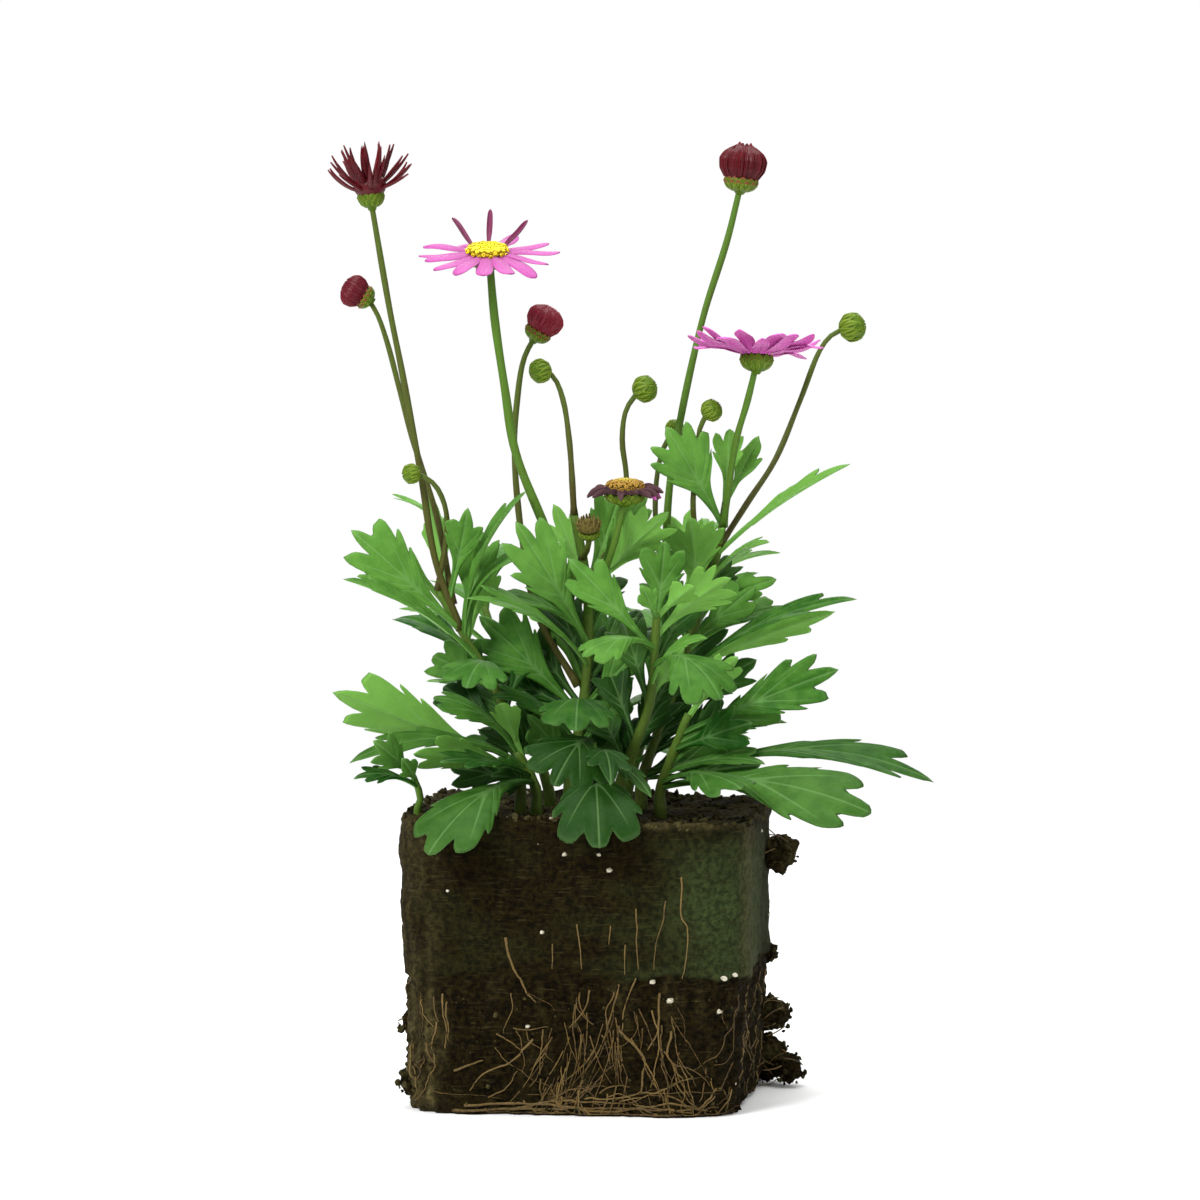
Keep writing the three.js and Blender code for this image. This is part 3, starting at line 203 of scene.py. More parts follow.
SHOOTS: dict[str, Shoot] = {
    "shoot_left": Shoot(
        (-17, -6),
        (
            Stalk(1.5, 1.0, ((-17, -6, 76), (-22, -8, 96.6), (-31.7, -10, 113.7),
                (-37.3, -10, 123.4)), Tone.WINE),
            Stalk(1.0, 0.8, ((-31.7, -10, 113.7), (-37.8, -11, 130.7), (-41, -12, 150),
                (-45.9, -12, 177), (-48.8, -12, 191.7), (-53.2, -12, 217.5)), Tone.BROWN),
            Stalk(0.9, 0.7, ((-33.5, -10, 120), (-37.2, -6, 140.5), (-43.9, -5, 162.4),
                (-49.5, -5, 184), (-52, -6, 191), (-54, -6, 194.2)), Tone.BROWN),
            Stalk(0.8, 0.7, ((-37.3, -10, 123.4), (-34.9, -13, 140.5), (-37, -16, 147.8),
                (-39.6, -17, 150.6), (-42.4, -17.5, 151.6)), Tone.BROWN),
        ),
        (
            Leaf(FAN, (-33, -10, 112), (-57.5, -15, 137.5), 16, FRONT, 2, 0.15),
            Leaf(SPOON, (-36, -12, 119), (-53.5, -19, 134), 9, UNDER, 3, 0.25),
            Leaf(SPOON, (-35, -10, 121), (-40.4, -8, 146), 8, UNDER, 3, 0.3),
            Leaf(SPOON, (-34, -10, 121), (-30, -17, 142.5), 10, FRONT, -3, 0.25),
            Leaf(FAN, (-30, -9, 112), (-27, -4, 138), 12, FRONT, 2, 0.2),
            Leaf(STRAP, (-31, -9, 112), (-16, -14, 147.5), 10, UP_LEFT, 4, 0.3),
            Leaf(STRAP, (-27, -9, 104), (-59, -14, 127), 11, UP, 3, 0.35),
            Leaf(FAN, (-22, -8, 99), (-38.5, -3, 107.5), 13, FRONT, 2, 0.15),
            Leaf(SPOON, (-19, -7, 86), (-31, -6, 99), 11, FRONT, 1, 0.1),
            Leaf(FAN, (-23, -9, 102), (-30, -33, 100.5), 17, MIDDLING, 5, -0.15),
            Leaf(SPOON, (-31, -9, 112), (-14, -10, 133.5), 9, UP_LEFT, 5, 0.2),
            Leaf(SPOON, (-30, -9, 111), (-23.5, -2, 131.5), 8, UNDER, 1, 0.2),
            Leaf(STRAP, (-26, -9, 103), (-48, 12, 117), 11, UP, 3, 0.25),
        ),
    ),
    "shoot_middle": Shoot(
        (-5, -2),
        (
            Stalk(1.7, 1.2, ((-5, -2, 76), (-1.2, -3, 99), (-0.7, -4, 123.4), (-3.9, -4, 141.7)
                ), Tone.BROWN),
            Stalk(1.3, 1.1, ((-1, -4, 121), (-7.3, -8, 130.7), (-12.2, -12, 141.7),
                (-18.3, -15, 157.6), (-20.7, -16, 172.2), (-23.2, -17, 189.3), (-24.4, -18, 203)
                ), Tone.OLIVE),
            Stalk(1.0, 0.8, ((-3, -3, 100), (-12.7, 0, 117), (-16.6, 1, 135.6), (-18.5, 2, 157.6),
                (-17.8, 2, 169.8), (-16.1, 2, 180), (-12.9, 2, 186.2)), Tone.BROWN),
            Stalk(0.9, 0.7, ((-3.9, -4, 141.7), (-5.1, -4, 160), (-6.6, -4, 169.8),
                (-8.6, -4, 175), (-11, -5, 177.2)), Tone.BROWN),
            Stalk(0.9, 0.7, ((-0.7, -4, 126), (6, 0, 135.6), (8.8, 2, 150), (7.8, 2, 160),
                (8.8, 2, 167.5), (12, 2, 172.2)), Tone.BROWN),
            Stalk(1.0, 0.9, ((-0.8, -4, 118), (5, -10, 132), (8.5, -12, 145.5)), Tone.OLIVE),
            Stalk(0.9, 0.8, ((-2, -4, 131), (-0.5, -9, 134), (-0.2, -9.5, 137.4)), Tone.BROWN),
        ),
        (
            Leaf(FAN, (-1, -4, 111), (-17.5, -10, 139.5), 17, FRONT, 3, 0.15),
            Leaf(SPOON, (-1, -4, 123), (-8.5, -1, 143.5), 9, UNDER, 1, 0.25),
            Leaf(STRAP, (-2, -3, 105), (-29.5, -15, 122.5), 14, UP, 4, 0.2),
            Leaf(SPOON, (-2, -4, 112), (-24, -6, 122), 9, UP, 3, 0.2),
            Leaf(FAN, (-1, -4, 124), (8, -7, 148.5), 13, FRONT, -2, 0.15),
            Leaf(SPOON, (-1, -3, 122), (13.5, 3, 147.5), 9, FRONT, 1, 0.2),
            Leaf(FAN, (-1, -4, 122), (18.5, -9, 142), 15, UNDER, 2, 0.1),
            Leaf(FAN, (-2, -3, 92), (-26.5, 2, 116.5), 17, FRONT, 3, 0.15),
            Leaf(FAN, (-2, -3, 96), (7, 8, 118), 15, FRONT, 2, 0.15),
            Leaf(SPOON, (-2, -3, 98), (-14, 10, 128), 12, UNDER, 3, 0.2),
            Leaf(FAN, (-3, -3, 90), (-3.5, -36, 90), 19, MIDDLING, 7, -0.15),
            Leaf(SPOON, (-3, -2, 84), (-17, 5, 104), 12, FRONT, 2, 0.2),
            Leaf(FAN, (-3, -3, 86), (-23, -16, 98), 13, UP, 3, 0.1),
            Leaf(SPOON, (-4, -2, 80), (-15, -12, 93), 10, FRONT, 1, 0.1),
            Leaf(SPOON, (-3, -3, 84), (9, -2, 99), 10, FRONT, 1, 0.1),
            Leaf(SPOON, (-1, -3, 94), (12, -4, 109), 10, FRONT, 1, 0.1),
        ),
    ),
    "shoot_front": Shoot(
        (7.3, -8),
        (
            Stalk(1.6, 1.1, ((7.3, -8, 76), (12, -11, 88), (14.6, -12, 96), (15.9, -13, 111),
                (16.3, -13.5, 118)), Tone.BROWN),
        ),
        (
            Leaf(FAN, (14.5, -12, 108), (-4.5, -17, 130.5), 12, FRONT, 2, 0.2),
            Leaf(FAN, (16, -13, 114), (18.3, -17, 134.5), 13, FRONT, -3, 0.25),
            Leaf(SPOON, (16, -13, 117), (12.5, -19, 124.5), 6, FRONT, 1, 0.3),
            Leaf(SPOON, (16, -13, 117), (25.2, -20, 124.5), 8, UNDER, 1, 0.25),
            Leaf(FAN, (16, -13, 112), (34, -15, 126.5), 14, UNDER, 3, 0.15),
            Leaf(FAN, (15.9, -13, 109), (-1.4, -26, 108), 13, UP, 3, -0.25),
            Leaf(FAN, (15.6, -13, 104), (31.5, -34, 97.5), 19, UP, 6, -0.2),
            Leaf(SPOON, (15, -12, 100), (28, -20, 112), 8, UP, 3, 0.25),
            Leaf(SPOON, (14, -12, 96), (23, -24, 108), 9, UNDER, 2, 0.3),
        ),
    ),
    "shoot_right": Shoot(
        (12.5, 3),
        (
            Stalk(1.6, 1.0, ((12.5, 3, 76), (20, 5, 98), (26, 6, 116), (31, 7, 132), (33, 8, 145)
                ), Tone.WINE),
            Stalk(1.1, 0.9, ((21.5, 5, 103), (18.6, 8, 128), (19.5, 9, 150), (22, 10, 165),
                (25, 10, 179.5), (28, 10, 191.7), (33.4, 10, 208.8), (36.5, 10, 221.5)
                ), Tone.OLIVE),
            Stalk(1.0, 0.9, ((32.5, 7, 139), (33.6, 4, 147), (35.6, 0, 160), (38.2, -2, 169),
                (40.4, -4, 178)), Tone.OLIVE),
            Stalk(0.9, 0.7, ((31.5, 7, 134), (38.5, 12, 145), (45, 14, 155), (51.2, 16, 169.8),
                (56, 16, 182), (58.8, 15.5, 185.6), (62.6, 15, 187.4)), Tone.BROWN),
            Stalk(0.8, 0.7, ((29, 7, 127), (25.2, 3, 142), (26, 2, 155), (26.8, 2, 163),
                (28.6, 2, 166.6)), Tone.BROWN),
            Stalk(0.8, 0.7, ((20.5, 7, 112), (15.9, 14, 142), (17.3, 16, 156.4), (20, 17, 162)
                ), Tone.BROWN),
        ),
        (
            Leaf(FAN, (30, 7, 139), (18.8, -3, 162.5), 17, FRONT, 2, 0.15),
            Leaf(SPOON, (33, 7, 145), (34, 5, 162.5), 9, UNDER, 2, 0.3),
            Leaf(SPOON, (33, 8, 145), (41, 10, 160.5), 7, FRONT, -2, 0.3),
            Leaf(STRAP, (31, 7, 131), (63, 3, 154), 9, UP_LEFT, 2, 0.35),
            Leaf(SPOON, (29, 6, 124), (43, -6, 135.5), 9, UP, 2, 0.25),
            Leaf(SPOON, (27, 6, 119), (45, 2, 126), 8, FRONT, 2, 0.3),
            Leaf(FAN, (27, 6, 118), (24.5, -5, 141), 17, UNDER, 2, 0.1),
            Leaf(SPOON, (24, 6, 110), (40, -1, 124), 11, FRONT, 2, 0.2),
            Leaf(STRAP, (20, 5, 99), (64.5, -12, 121), 11, UP, 5, 0.25),
            Leaf(SPOON, (24, 6, 108), (49, 8, 119), 11, UP, 3, 0.2),
            Leaf(STRAP, (22, 5, 102), (59.5, -3, 118.5), 9, UNDER, 2, 0.25),
            Leaf(FAN, (28, 6, 122), (20, 22, 141), 14, UNDER, 2, 0.2),
            Leaf(SPOON, (25, 6, 112), (40, 26, 128), 12, SKY, 3, 0.2),
        ),
    ),
    "tuft_left": Shoot(
        (-13, -13),
        (
            Stalk(1.7, 1.1, ((-13, -13, 73.5), (-15, -14, 79), (-18, -15, 84)), Tone.BROWN),
        ),
        (
            Leaf(FAN, (-15, -14, 76), (-61.5, -24, 98.5), 17, UNDER, 2, 0.15),
            Leaf(SPOON, (-15, -14, 80), (-57.5, -26, 81.5), 12, UP, 7, 0.2),
            Leaf(FAN, (-17, -15, 84), (-37.5, -18, 97.5), 12, UP, 3, -0.15),
            Leaf(SPOON, (-14, -13, 79), (-42.5, -27, 84), 12, UNDER, 2, 0.2),
            Leaf(SPOON, (-14, -13, 78), (-36, -36, 81.5), 14, UP, 2, 0.1),
            Leaf(FAN, (-14, -14, 76), (-39, -50, 60.5), 18, MIDDLING, 6, -0.1),
            Leaf(SPOON, (-16, -14, 82), (-22, -26, 96), 8, UNDER, 2, 0.3),
        ),
    ),
    "tuft_front": Shoot(
        (1, -16),
        (
            Stalk(1.7, 1.2, ((1, -16, 73.5), (0.8, -18, 79), (0.5, -20, 86)), Tone.OLIVE),
        ),
        (
            Leaf(FAN, (0.5, -20, 88), (-8.5, -40, 76.5), 22, (0, -0.8, 0.6), 5, -0.1),
            Leaf(SPOON, (0.8, -17, 82), (5, -44, 76.5), 12, (0.2, -0.85, 0.5), 5, 0.1),
            Leaf(FAN, (1, -16, 78), (2.2, -54, 61.5), 22, (0, -0.75, 0.65), 7, -0.1),
            Leaf(SPOON, (0.7, -18, 80), (14.6, -40, 73.5), 6, UP, 4, 0.1),
        ),
    ),
    "tuft_right": Shoot(
        (17, -11),
        (
            Stalk(1.7, 1.1, ((17, -11, 73.5), (19, -13, 80), (22, -15, 88), (24, -16, 93)
                ), Tone.WINE),
        ),
        (
            Leaf(FAN, (22, -15, 88), (59.5, -20, 103.5), 14, FRONT, 3, 0.15),
            Leaf(SPOON, (22, -14, 86), (48, -14, 97), 11, FRONT, 3, 0.2),
            Leaf(FAN, (21, -14, 84), (39, -20, 91), 12, FRONT, 2, 0.15),
            Leaf(STRAP, (20, -13, 80), (48, -18, 90.5), 9, UP, 4, 0.25),
            Leaf(SPOON, (19, -12, 78), (42, -26, 81.5), 11, UP, 2, 0.2),
            Leaf(FAN, (18, -12, 76), (82.5, -24, 78), 15, UP, 8, 0.1),
            Leaf(FAN, (18, -12, 75), (67, -42, 70), 19, (0.25, -0.8, 0.55), 6, -0.1),
            Leaf(FAN, (18, -12, 76), (36.5, -52, 74.5), 14, UP, 3, -0.15),
            Leaf(SPOON, (23, -15, 91), (36, -34, 106), 9, UNDER, 2, 0.25),
        ),
    ),
    "sprig": Shoot(
        (-41.5, -24),
        (
            Stalk(1.1, 0.8, ((-41.5, -24, 72), (-42.5, -24.5, 76), (-44, -25, 79)), Tone.OLIVE),
        ),
        (
            Leaf(SPOON, (-43, -24.5, 75), (-57.5, -28, 77.5), 9, UP, 2, 0.1),
            Leaf(FAN, (-43.5, -25, 78), (-52, -32, 86.5), 10, FRONT, 1, 0.1),
            Leaf(SPOON, (-43, -24.5, 77), (-46, -36, 82), 6, FRONT, 1, 0.2),
        ),
    ),
    "shoot_back_left": Shoot(
        (-10, 13),
        (
            Stalk(1.5, 0.9, ((-10, 13, 74), (-17, 21, 96), (-24, 28, 114), (-28, 32, 126)
                ), Tone.BROWN),
        ),
        ring=Ring(7, 0.14, 30, 10, 14, 135, 130),
    ),
    "shoot_back_right": Shoot(
        (9, 15),
        (
            Stalk(1.5, 0.9, ((9, 15, 74), (15, 24, 94), (20, 31, 112), (24, 36, 124)), Tone.BROWN),
        ),
        ring=Ring(7, 0.14, 30, 9, 14, 50, 130),
    ),
    "tuft_back": Shoot(
        (0, 24),
        (
            Stalk(1.7, 1.2, ((0, 24, 73.5), (0, 26, 80), (0, 28, 88)), Tone.OLIVE),
        ),
        ring=Ring(6, 0.1, 38, -1, 15, 90, 165),
    ),
}


@dataclass(frozen=True)
class Head:
    """Where a flower head sits: the middle of its cup's rim as seen, its way, and its cup."""

    on: str
    at: Point
    axis: Point
    radius: float
    depth: float


HEADS: dict[str, Head] = {
    "bloom_left": Head("shoot_middle", (-25, -18, 204.8), (0, -0.3, 1), 4.6, 3.6),
    "bloom_right": Head("shoot_right", (40.6, -4, 180.4), (0.04, 0.13, 1), 4.4, 4),
    "half_open": Head("shoot_left", (-53.4, -12, 220), (-0.1, -0.05, 1), 3.5, 3.8),
    "tall_bud": Head("shoot_right", (36.8, 10, 223.6), (0.12, 0, 1), 4.6, 3.6),
    "left_bud": Head("shoot_left", (-55.3, -6, 195.1), (-0.85, -0.1, 0.5), 3.1, 2.8),
    "middle_bud": Head("shoot_middle", (-12.4, 2, 186.8), (0.5, -0.1, 0.85), 3.6, 3.2),
    "faded": Head("shoot_middle", (8.5, -12, 147), (0, -0.1, 1), 5.4, 3),
    "spent": Head("shoot_middle", (-0.2, -9.5, 137.8), (-0.1, -0.5, 1), 2.7, 2.3),
}

# Green buds at the ends of their stalks: shoot, middle, way and radius
GREEN_BUDS: tuple[tuple[str, Point, Point, float], ...] = (
    ("shoot_left", (-43.8, -17.7, 151.8), (-0.9, -0.2, -0.2), 2.2),
    ("shoot_middle", (-12.4, -5.2, 176.8), (-0.8, -0.2, -0.3), 2.7),
    ("shoot_middle", (13.6, 1.8, 172.6), (0.9, -0.2, 0.3), 3.0),
    ("shoot_right", (64.2, 14.8, 187.6), (0.9, -0.2, 0.2), 3.3),
    ("shoot_right", (29.8, 2, 167.4), (0.8, -0.2, 0.5), 2.5),
    ("shoot_right", (20.8, 17.2, 163), (0.5, 0, 0.8), 2.2),
)

# Clods on the sides of the root ball: x, y, z, radius
CLODS: tuple[tuple[float, float, float, float], ...] = (
    (46.8, 20, 56.8, 5.6),
    (44, 24, 32, 3.3),
    (45.2, 20, 16.5, 5.8),
    (44, 16, 6, 7.2),
    (49.2, 11, 4.4, 4.8),
    (-43.6, -25, 6.5, 4.2),
    (-44.2, -14, 19, 3.6),
)

# Roots seen on the front face: radius, and points as (x, z)
FACE_ROOTS: tuple[tuple[float, Pairs], ...] = (
    (0.75, ((-20.4, 42.8), (-20, 38.9), (-17.6, 34.2), (-15.6, 30.2), (-12.9, 27.1))),
    (0.4, ((-9, 41.3), (-9, 35.4))),
    (0.4, ((-3.1, 46), (-1.9, 35.4))),
    (0.35, ((4.8, 46), (4.7, 41.3))),
    (0.4, ((8.7, 41.3), (8.5, 34.2))),
    (0.45, ((11, 49.9), (11.7, 35.4))),
    (0.4, ((18, 51.9), (17.4, 46), (15.8, 41.3), (15.6, 35.4))),
    (0.45, ((21.9, 57.8), (22.1, 47.6), (23.5, 46), (22.5, 33.4))),
    (0.55, ((-35.7, 29.1), (-35.3, 16.1))),
    (0.45, ((-37.7, 22.4), (-38.5, 15.3))),
    (0.5, ((-34.5, 27.1), (-34.5, 17.7))),
    (0.7, ((-33.7, 10.6), (-26.7, 12.9))),
    (0.6, ((-14.1, 18.4), (-19.6, 12.9), (-25.9, 9.8), (-29.8, 5.9))),
    (0.45, ((-11.7, 20.8), (-12.5, 9.8))),
    (0.45, ((0.1, 30.3), (-1.5, 25.5), (-5.4, 20.8))),
    (0.5, ((7.2, 31.8), (5.6, 25.5), (3.2, 17.7), (-0.7, 11.4))),
    (0.45, ((11.1, 33.4), (8.4, 25.5), (8, 20.8))),
    (0.9, ((7.2, 20.8), (10.3, 17.7), (13.5, 14.5), (13.1, 9.8), (12.3, 5.9))),
    (0.7, ((17.4, 29.5), (17, 22.4), (14.3, 16.1))),
    (0.6, ((19.8, 20.8), (19, 15.3), (21.3, 12.2), (22.1, 8.2), (25.3, 3.5), (26.8, 2.7))),
    (0.8, ((-35.3, 0.9), (-15.6, 1.6), (0.1, 2.1), (23.7, 2), (35.5, 2.4))),
    (0.7, ((-31, 2.4), (-12, 2.9), (5, 1.2), (20, 3.4), (33, 1.2))),
    (0.6, ((-22, 1.2), (-8, 3.6), (9, 3.2), (26, 1.1))),
    (0.6, ((27.6, 1.9), (32.4, 6.6), (36.3, 7.4), (42.6, 12.9))),
)

# Perlite on the front face: x, z, radius
PERLITE: tuple[tuple[float, float, float], ...] = (
    (-6.1, 62.7, 0.6), (2, 62.9, 0.55), (4.6, 59.1, 0.7), (15.4, 32.5, 0.75), (20.1, 28, 0.9),
    (34.3, 33.4, 0.8), (40.2, 33.9, 0.7), (33.6, 25.4, 0.75), (-15.5, 21.4, 0.6),
)

# Small leaves in painted shade low among the stems: where each leaves its stem, its tip and its
# width
INNER_LEAVES: dict[str, tuple[tuple[Point, Point, float], ...]] = {
    "shoot_left": (
        ((-22, -8, 97), (-33, 4, 109), 12), ((-19, -7, 85), (-27, 6, 104), 12),
        ((-21, -8, 93), (-14, 4, 112), 12), ((-18, -6, 80), (-12, 6, 98), 11),
        ((-20, -7, 88), (-36, 2, 100), 12), ((-17, -6, 79), (-27, 4, 90), 11),
    ),
    "shoot_middle": (
        ((-2, -3, 95), (-17, 6, 114), 12), ((-1, -3, 102), (-8, 9, 122), 13),
        ((-3, -2, 84), (-14, 14, 103), 13), ((-4, -2, 79), (-21, 3, 93), 12),
        ((-2, -3, 90), (5, 12, 112), 13), ((-3, -2, 82), (6, 10, 98), 12),
        ((-2, -3, 98), (12, 14, 118), 13), ((-3, -2, 78), (3, 8, 92), 12),
        ((-3, -2, 77), (9, 6, 86), 11), ((-1, -3, 100), (7, 6, 112), 13),
        ((-2, -3, 92), (-24, 8, 104), 12), ((-1, -4, 112), (4, 4, 128), 13),
        ((-4, -2, 78), (-12, 6, 90), 11), ((-1, -4, 108), (-12, 6, 130), 13),
    ),
    "shoot_front": (
        ((11, -10, 86), (4, -2, 105), 11), ((9, -9, 80), (19, 2, 99), 12),
        ((14, -12, 95), (8, 0, 116), 12), ((15.5, -12, 104), (24, 0, 122), 12),
        ((8, -9, 77), (12, 0, 92), 12), ((9, -9, 80), (2, 0, 94), 11),
        ((12, -11, 88), (22, 2, 106), 12), ((15, -12, 98), (15, 2, 114), 13),
    ),
    "shoot_right": (
        ((17, 4, 90), (34, 12, 105), 12), ((15, 4, 84), (36, 14, 94), 12),
        ((20, 5, 98), (30, 16, 117), 12), ((24, 6, 110), (16, 18, 128), 12),
        ((14, 3, 80), (24, 14, 98), 12), ((13, 3, 77), (28, 10, 86), 12),
        ((15, 4, 84), (22, 10, 100), 12), ((18, 4, 92), (40, 8, 106), 11),
        ((14, 3, 78), (34, -2, 84), 11), ((27, 6, 118), (34, 12, 132), 11),
    ),
    "tuft_left": (
        ((-15, -14, 78), (-24, -4, 92), 11), ((-14, -13, 76), (-34, -10, 80), 11),
        ((-14, -13, 76), (-24, -20, 78), 11),
    ),
    "tuft_right": (((20, -13, 82), (35, -8, 94), 11), ((18, -12, 77), (41, -8, 80.5), 11)),
}


# Numbers and paths


def chance(seed: float | Array) -> Array:
    """Repeatable numbers from 0 to 1, made as the part's source makes them."""
    wave = np.sin(np.asarray(seed, float) * 12.9898 + 4.1) * 43758.5453
    return wave - np.floor(wave)


def draw(seed: float) -> float:
    """One such number."""
    return float(chance(seed))


def draws(start: float) -> Callable[[int], float]:
    """A run of such numbers, by place in it."""
    return lambda k: draw(start + k)


def unit(vector: Array) -> Array:
    """The same directions at length 1."""
    vector = np.asarray(vector, float)
    return vector / np.maximum(np.linalg.norm(vector, axis=-1, keepdims=True), 1e-12)


def ease(low: float, high: float, value: Array) -> Array:
    """A smooth step from 0 below low to 1 above high."""
    share = np.clip((np.asarray(value, float) - low) / (high - low), 0, 1)
    return share * share * (3 - 2 * share)


def seen(place: Point) -> Array:
    """The true place of a point whose x and z are given as they look against the middle plane."""
    x, y, z = place
    reach = 1 - y / EYE[1]
    return np.array([EYE[0] + (x - EYE[0]) * reach, y, EYE[2] + (z - EYE[2]) * reach])


def noise(points: Array, seed: int) -> Array:
    """Smooth noise from -1 to 1, one lump to each unit of length."""
    cell = np.floor(points)
    part = points - cell
    weight = part * part * (3 - 2 * part)
    total = np.zeros(len(points))
    for corner in itertools.product((0, 1), repeat=3):
        spot = (cell + corner) @ np.array([127.1, 311.7, 74.7]) + 13.7 * seed
        wave = np.sin(spot) * 43758.5453
        share = np.prod(np.where(np.array(corner) == 1, weight, 1 - weight), axis=1)
        total += (wave - np.floor(wave)) * share
    return total * 2 - 1


def rough(points: Array, seed: int, octaves: int = 4) -> Array:
    """Noise with finer noise on it, from about -1 to 1."""
    return sum(noise(points * 2.0**i, seed + i) * 0.55**i for i in range(octaves)) / 1.6


def even(points: Array, step: float) -> Array:
    """Points a step apart on a run of straight lines."""
    length = np.r_[0, np.cumsum(np.linalg.norm(np.diff(points, axis=0), axis=1))]
    count = max(2, int(round(length[-1] / step)) + 1)
    marks = np.linspace(0, length[-1], count)
    return np.stack([np.interp(marks, length, points[:, k]) for k in range(points.shape[1])], 1)


def smooth_path(points: Array, step: float) -> Array:
    """Points a step apart on the centripetal curve through the given ones."""
    knots = np.asarray(points, float)
    knots = np.vstack([2 * knots[0] - knots[1], knots, 2 * knots[-1] - knots[-2]])
    share = np.linspace(0, 1, 20, endpoint=False)[:, None]
    runs = []
    for a, b, c, d in zip(knots, knots[1:], knots[2:], knots[3:]):
        before, here, after = (
            max(np.linalg.norm(q - p) ** 0.5, 1e-4) for p, q in ((a, b), (b, c), (c, d))
        )
        leave = ((b - a) / before - (c - a) / (before + here) + (c - b) / here) * here
        arrive = ((c - b) / here - (d - b) / (here + after) + (d - c) / after) * here
        third = 3 * (c - b) - 2 * leave - arrive
        runs.append(b + share * (leave + share * (third + share * (2 * (b - c) + leave + arrive))))
    return even(np.vstack([*runs, knots[-2:-1]]), step)


def soften(values: Array, reach: int) -> Array:
    """A running mean over neighbours on each side, and never under the values themselves."""
    wide = 2 * reach + 1
    mean = np.convolve(np.pad(values, reach, mode="edge"), np.ones(wide) / wide, mode="valid")
    return np.maximum(mean, values)


def square_to(axis: Array) -> tuple[Array, Array]:
    """Two directions square to an axis, as the part's source picks them."""
    across = np.cross([0.0, 1.0, 0.0], axis)
    if np.linalg.norm(across) < 0.2:
        across = np.cross([1.0, 0.0, 0.0], axis)
    across = unit(across)
    return across, np.cross(axis, across)


# Meshes


@dataclass
class Patch:
    """Part of a mesh: corners in millimetres, faces, and a number a corner for each name."""

    points: Array
    faces: list[Array]
    values: Values = field(default_factory=dict)


def same(value: float) -> Array:
    """One number for every corner of a ringed skin."""
    return np.full((1, 1), value)


def ringed(rings: Array, values: Values | None = None, closed: bool = True) -> Patch:
    """A skin over rings of the same number of corners.

    Args:
        rings: Corners as (ring, place in the ring, xyz).
        values: Numbers for each name, as (ring, place in the ring) or anything that spreads to it.
        closed: Whether the last ring is closed, as the first one is.

    Returns:
        The patch.
    """
    count, size = rings.shape[:2]
    index = np.arange(count * size).reshape(count, size)
    beside = np.roll(index, -1, axis=1)
    quads = np.stack([index[:-1], beside[:-1], beside[1:], index[1:]], -1).reshape(-1, 4)
    points = [rings.reshape(-1, 3)]
    flat = {
        name: [np.broadcast_to(value, (count, size)).reshape(-1)]
        for name, value in (values or {}).items()
    }
    faces = [quads]
    ends = ((0, 1), (count - 1, -1)) if closed else ((0, 1),)
    for middle, (row, turn) in enumerate(ends, count * size):
        points.append(rings[row].mean(0, keepdims=True))
        for numbers in flat.values():
            numbers.append(numbers[0][index[row]].mean(keepdims=True))
        fan = np.stack([np.full(size, middle), beside[row], index[row]], -1)
        faces.append(fan[:, ::turn])
    return Patch(np.vstack(points), faces, {n: np.concatenate(v) for n, v in flat.items()})


def tube(
    path: Array, radius: Array | float, sides: int, values: Values | None = None, ribs: float = 0.0
) -> Patch:
    """A round skin along a path.

    Args:
        path: Points of the middle line.
        radius: One radius, or one for each point.
        sides: Corners round it.
        values: Numbers for each name, one for each point of the path.
        ribs: How far five low ribs stand out, as a share of the radius.

    Returns:
        The closed patch.
    """
    way = unit(np.gradient(path, axis=0))
    side = [unit(np.cross(way[0], (1, 0, 0) if abs(way[0][2]) > 0.9 else (0, 0, 1)))]
    for step in way[1:]:
        side.append(unit(side[-1] - step * np.dot(side[-1], step)))
    across = np.array(side)
    beyond = np.cross(way, across)
    angle = np.linspace(0, math.tau, sides, endpoint=False)
    reach = np.broadcast_to(radius, len(path))[:, None] * (1 + ribs * np.cos(5 * angle))
    rings = (
        path[:, None]
        + (reach * np.cos(angle))[..., None] * across[:, None]
        + (reach * np.sin(angle))[..., None] * beyond[:, None]
    )
    spread = {name: np.asarray(value)[:, None] for name, value in (values or {}).items()}
    return ringed(rings, spread)


def turned(
    at: Array, axis: Array, profile: Array, sides: int, values: Values | None = None
) -> Patch:
    """A round form on an axis, from (distance along the axis, radius) pairs."""
    axis = unit(axis)
    across, beyond = square_to(axis)
    angle = np.linspace(0, math.tau, sides, endpoint=False)
    wheel = np.cos(angle)[:, None] * across + np.sin(angle)[:, None] * beyond
    rings = at + profile[:, :1, None] * axis + profile[:, 1:2, None] * wheel[None]
    return ringed(rings, values)


def lump(points: Array, centre: Array, seed: int) -> Array:
    """Corners of a ball of radius 1 made into a crumb round a middle point."""
    return centre + points * (1 + 0.35 * noise(points * 1.7 + centre, seed))[:, None]


def ball_mesh(fineness: int) -> tuple[Array, Array]:
    """Corners and triangles of a ball of radius 1."""
    bm = bmesh.new()
    bmesh.ops.create_icosphere(bm, subdivisions=fineness, radius=1)
    points = np.array([tuple(v.co) for v in bm.verts])
    faces = np.array([[v.index for v in face.verts] for face in bm.faces])
    bm.free()
    return points, faces


def solid_of(node: str) -> BVHTree:
    """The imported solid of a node, in metres, to measure its skin."""
    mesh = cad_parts[node].data
    corners = [vertex.co for vertex in mesh.vertices]
    return BVHTree.FromPolygons(corners, [tuple(face.vertices) for face in mesh.polygons])


def link(name: str, data: bpy.types.ID) -> bpy.types.Object:
    """A new object in the scene."""
    thing = bpy.data.objects.new(name, data)
    bpy.context.collection.objects.link(thing)
    return thing


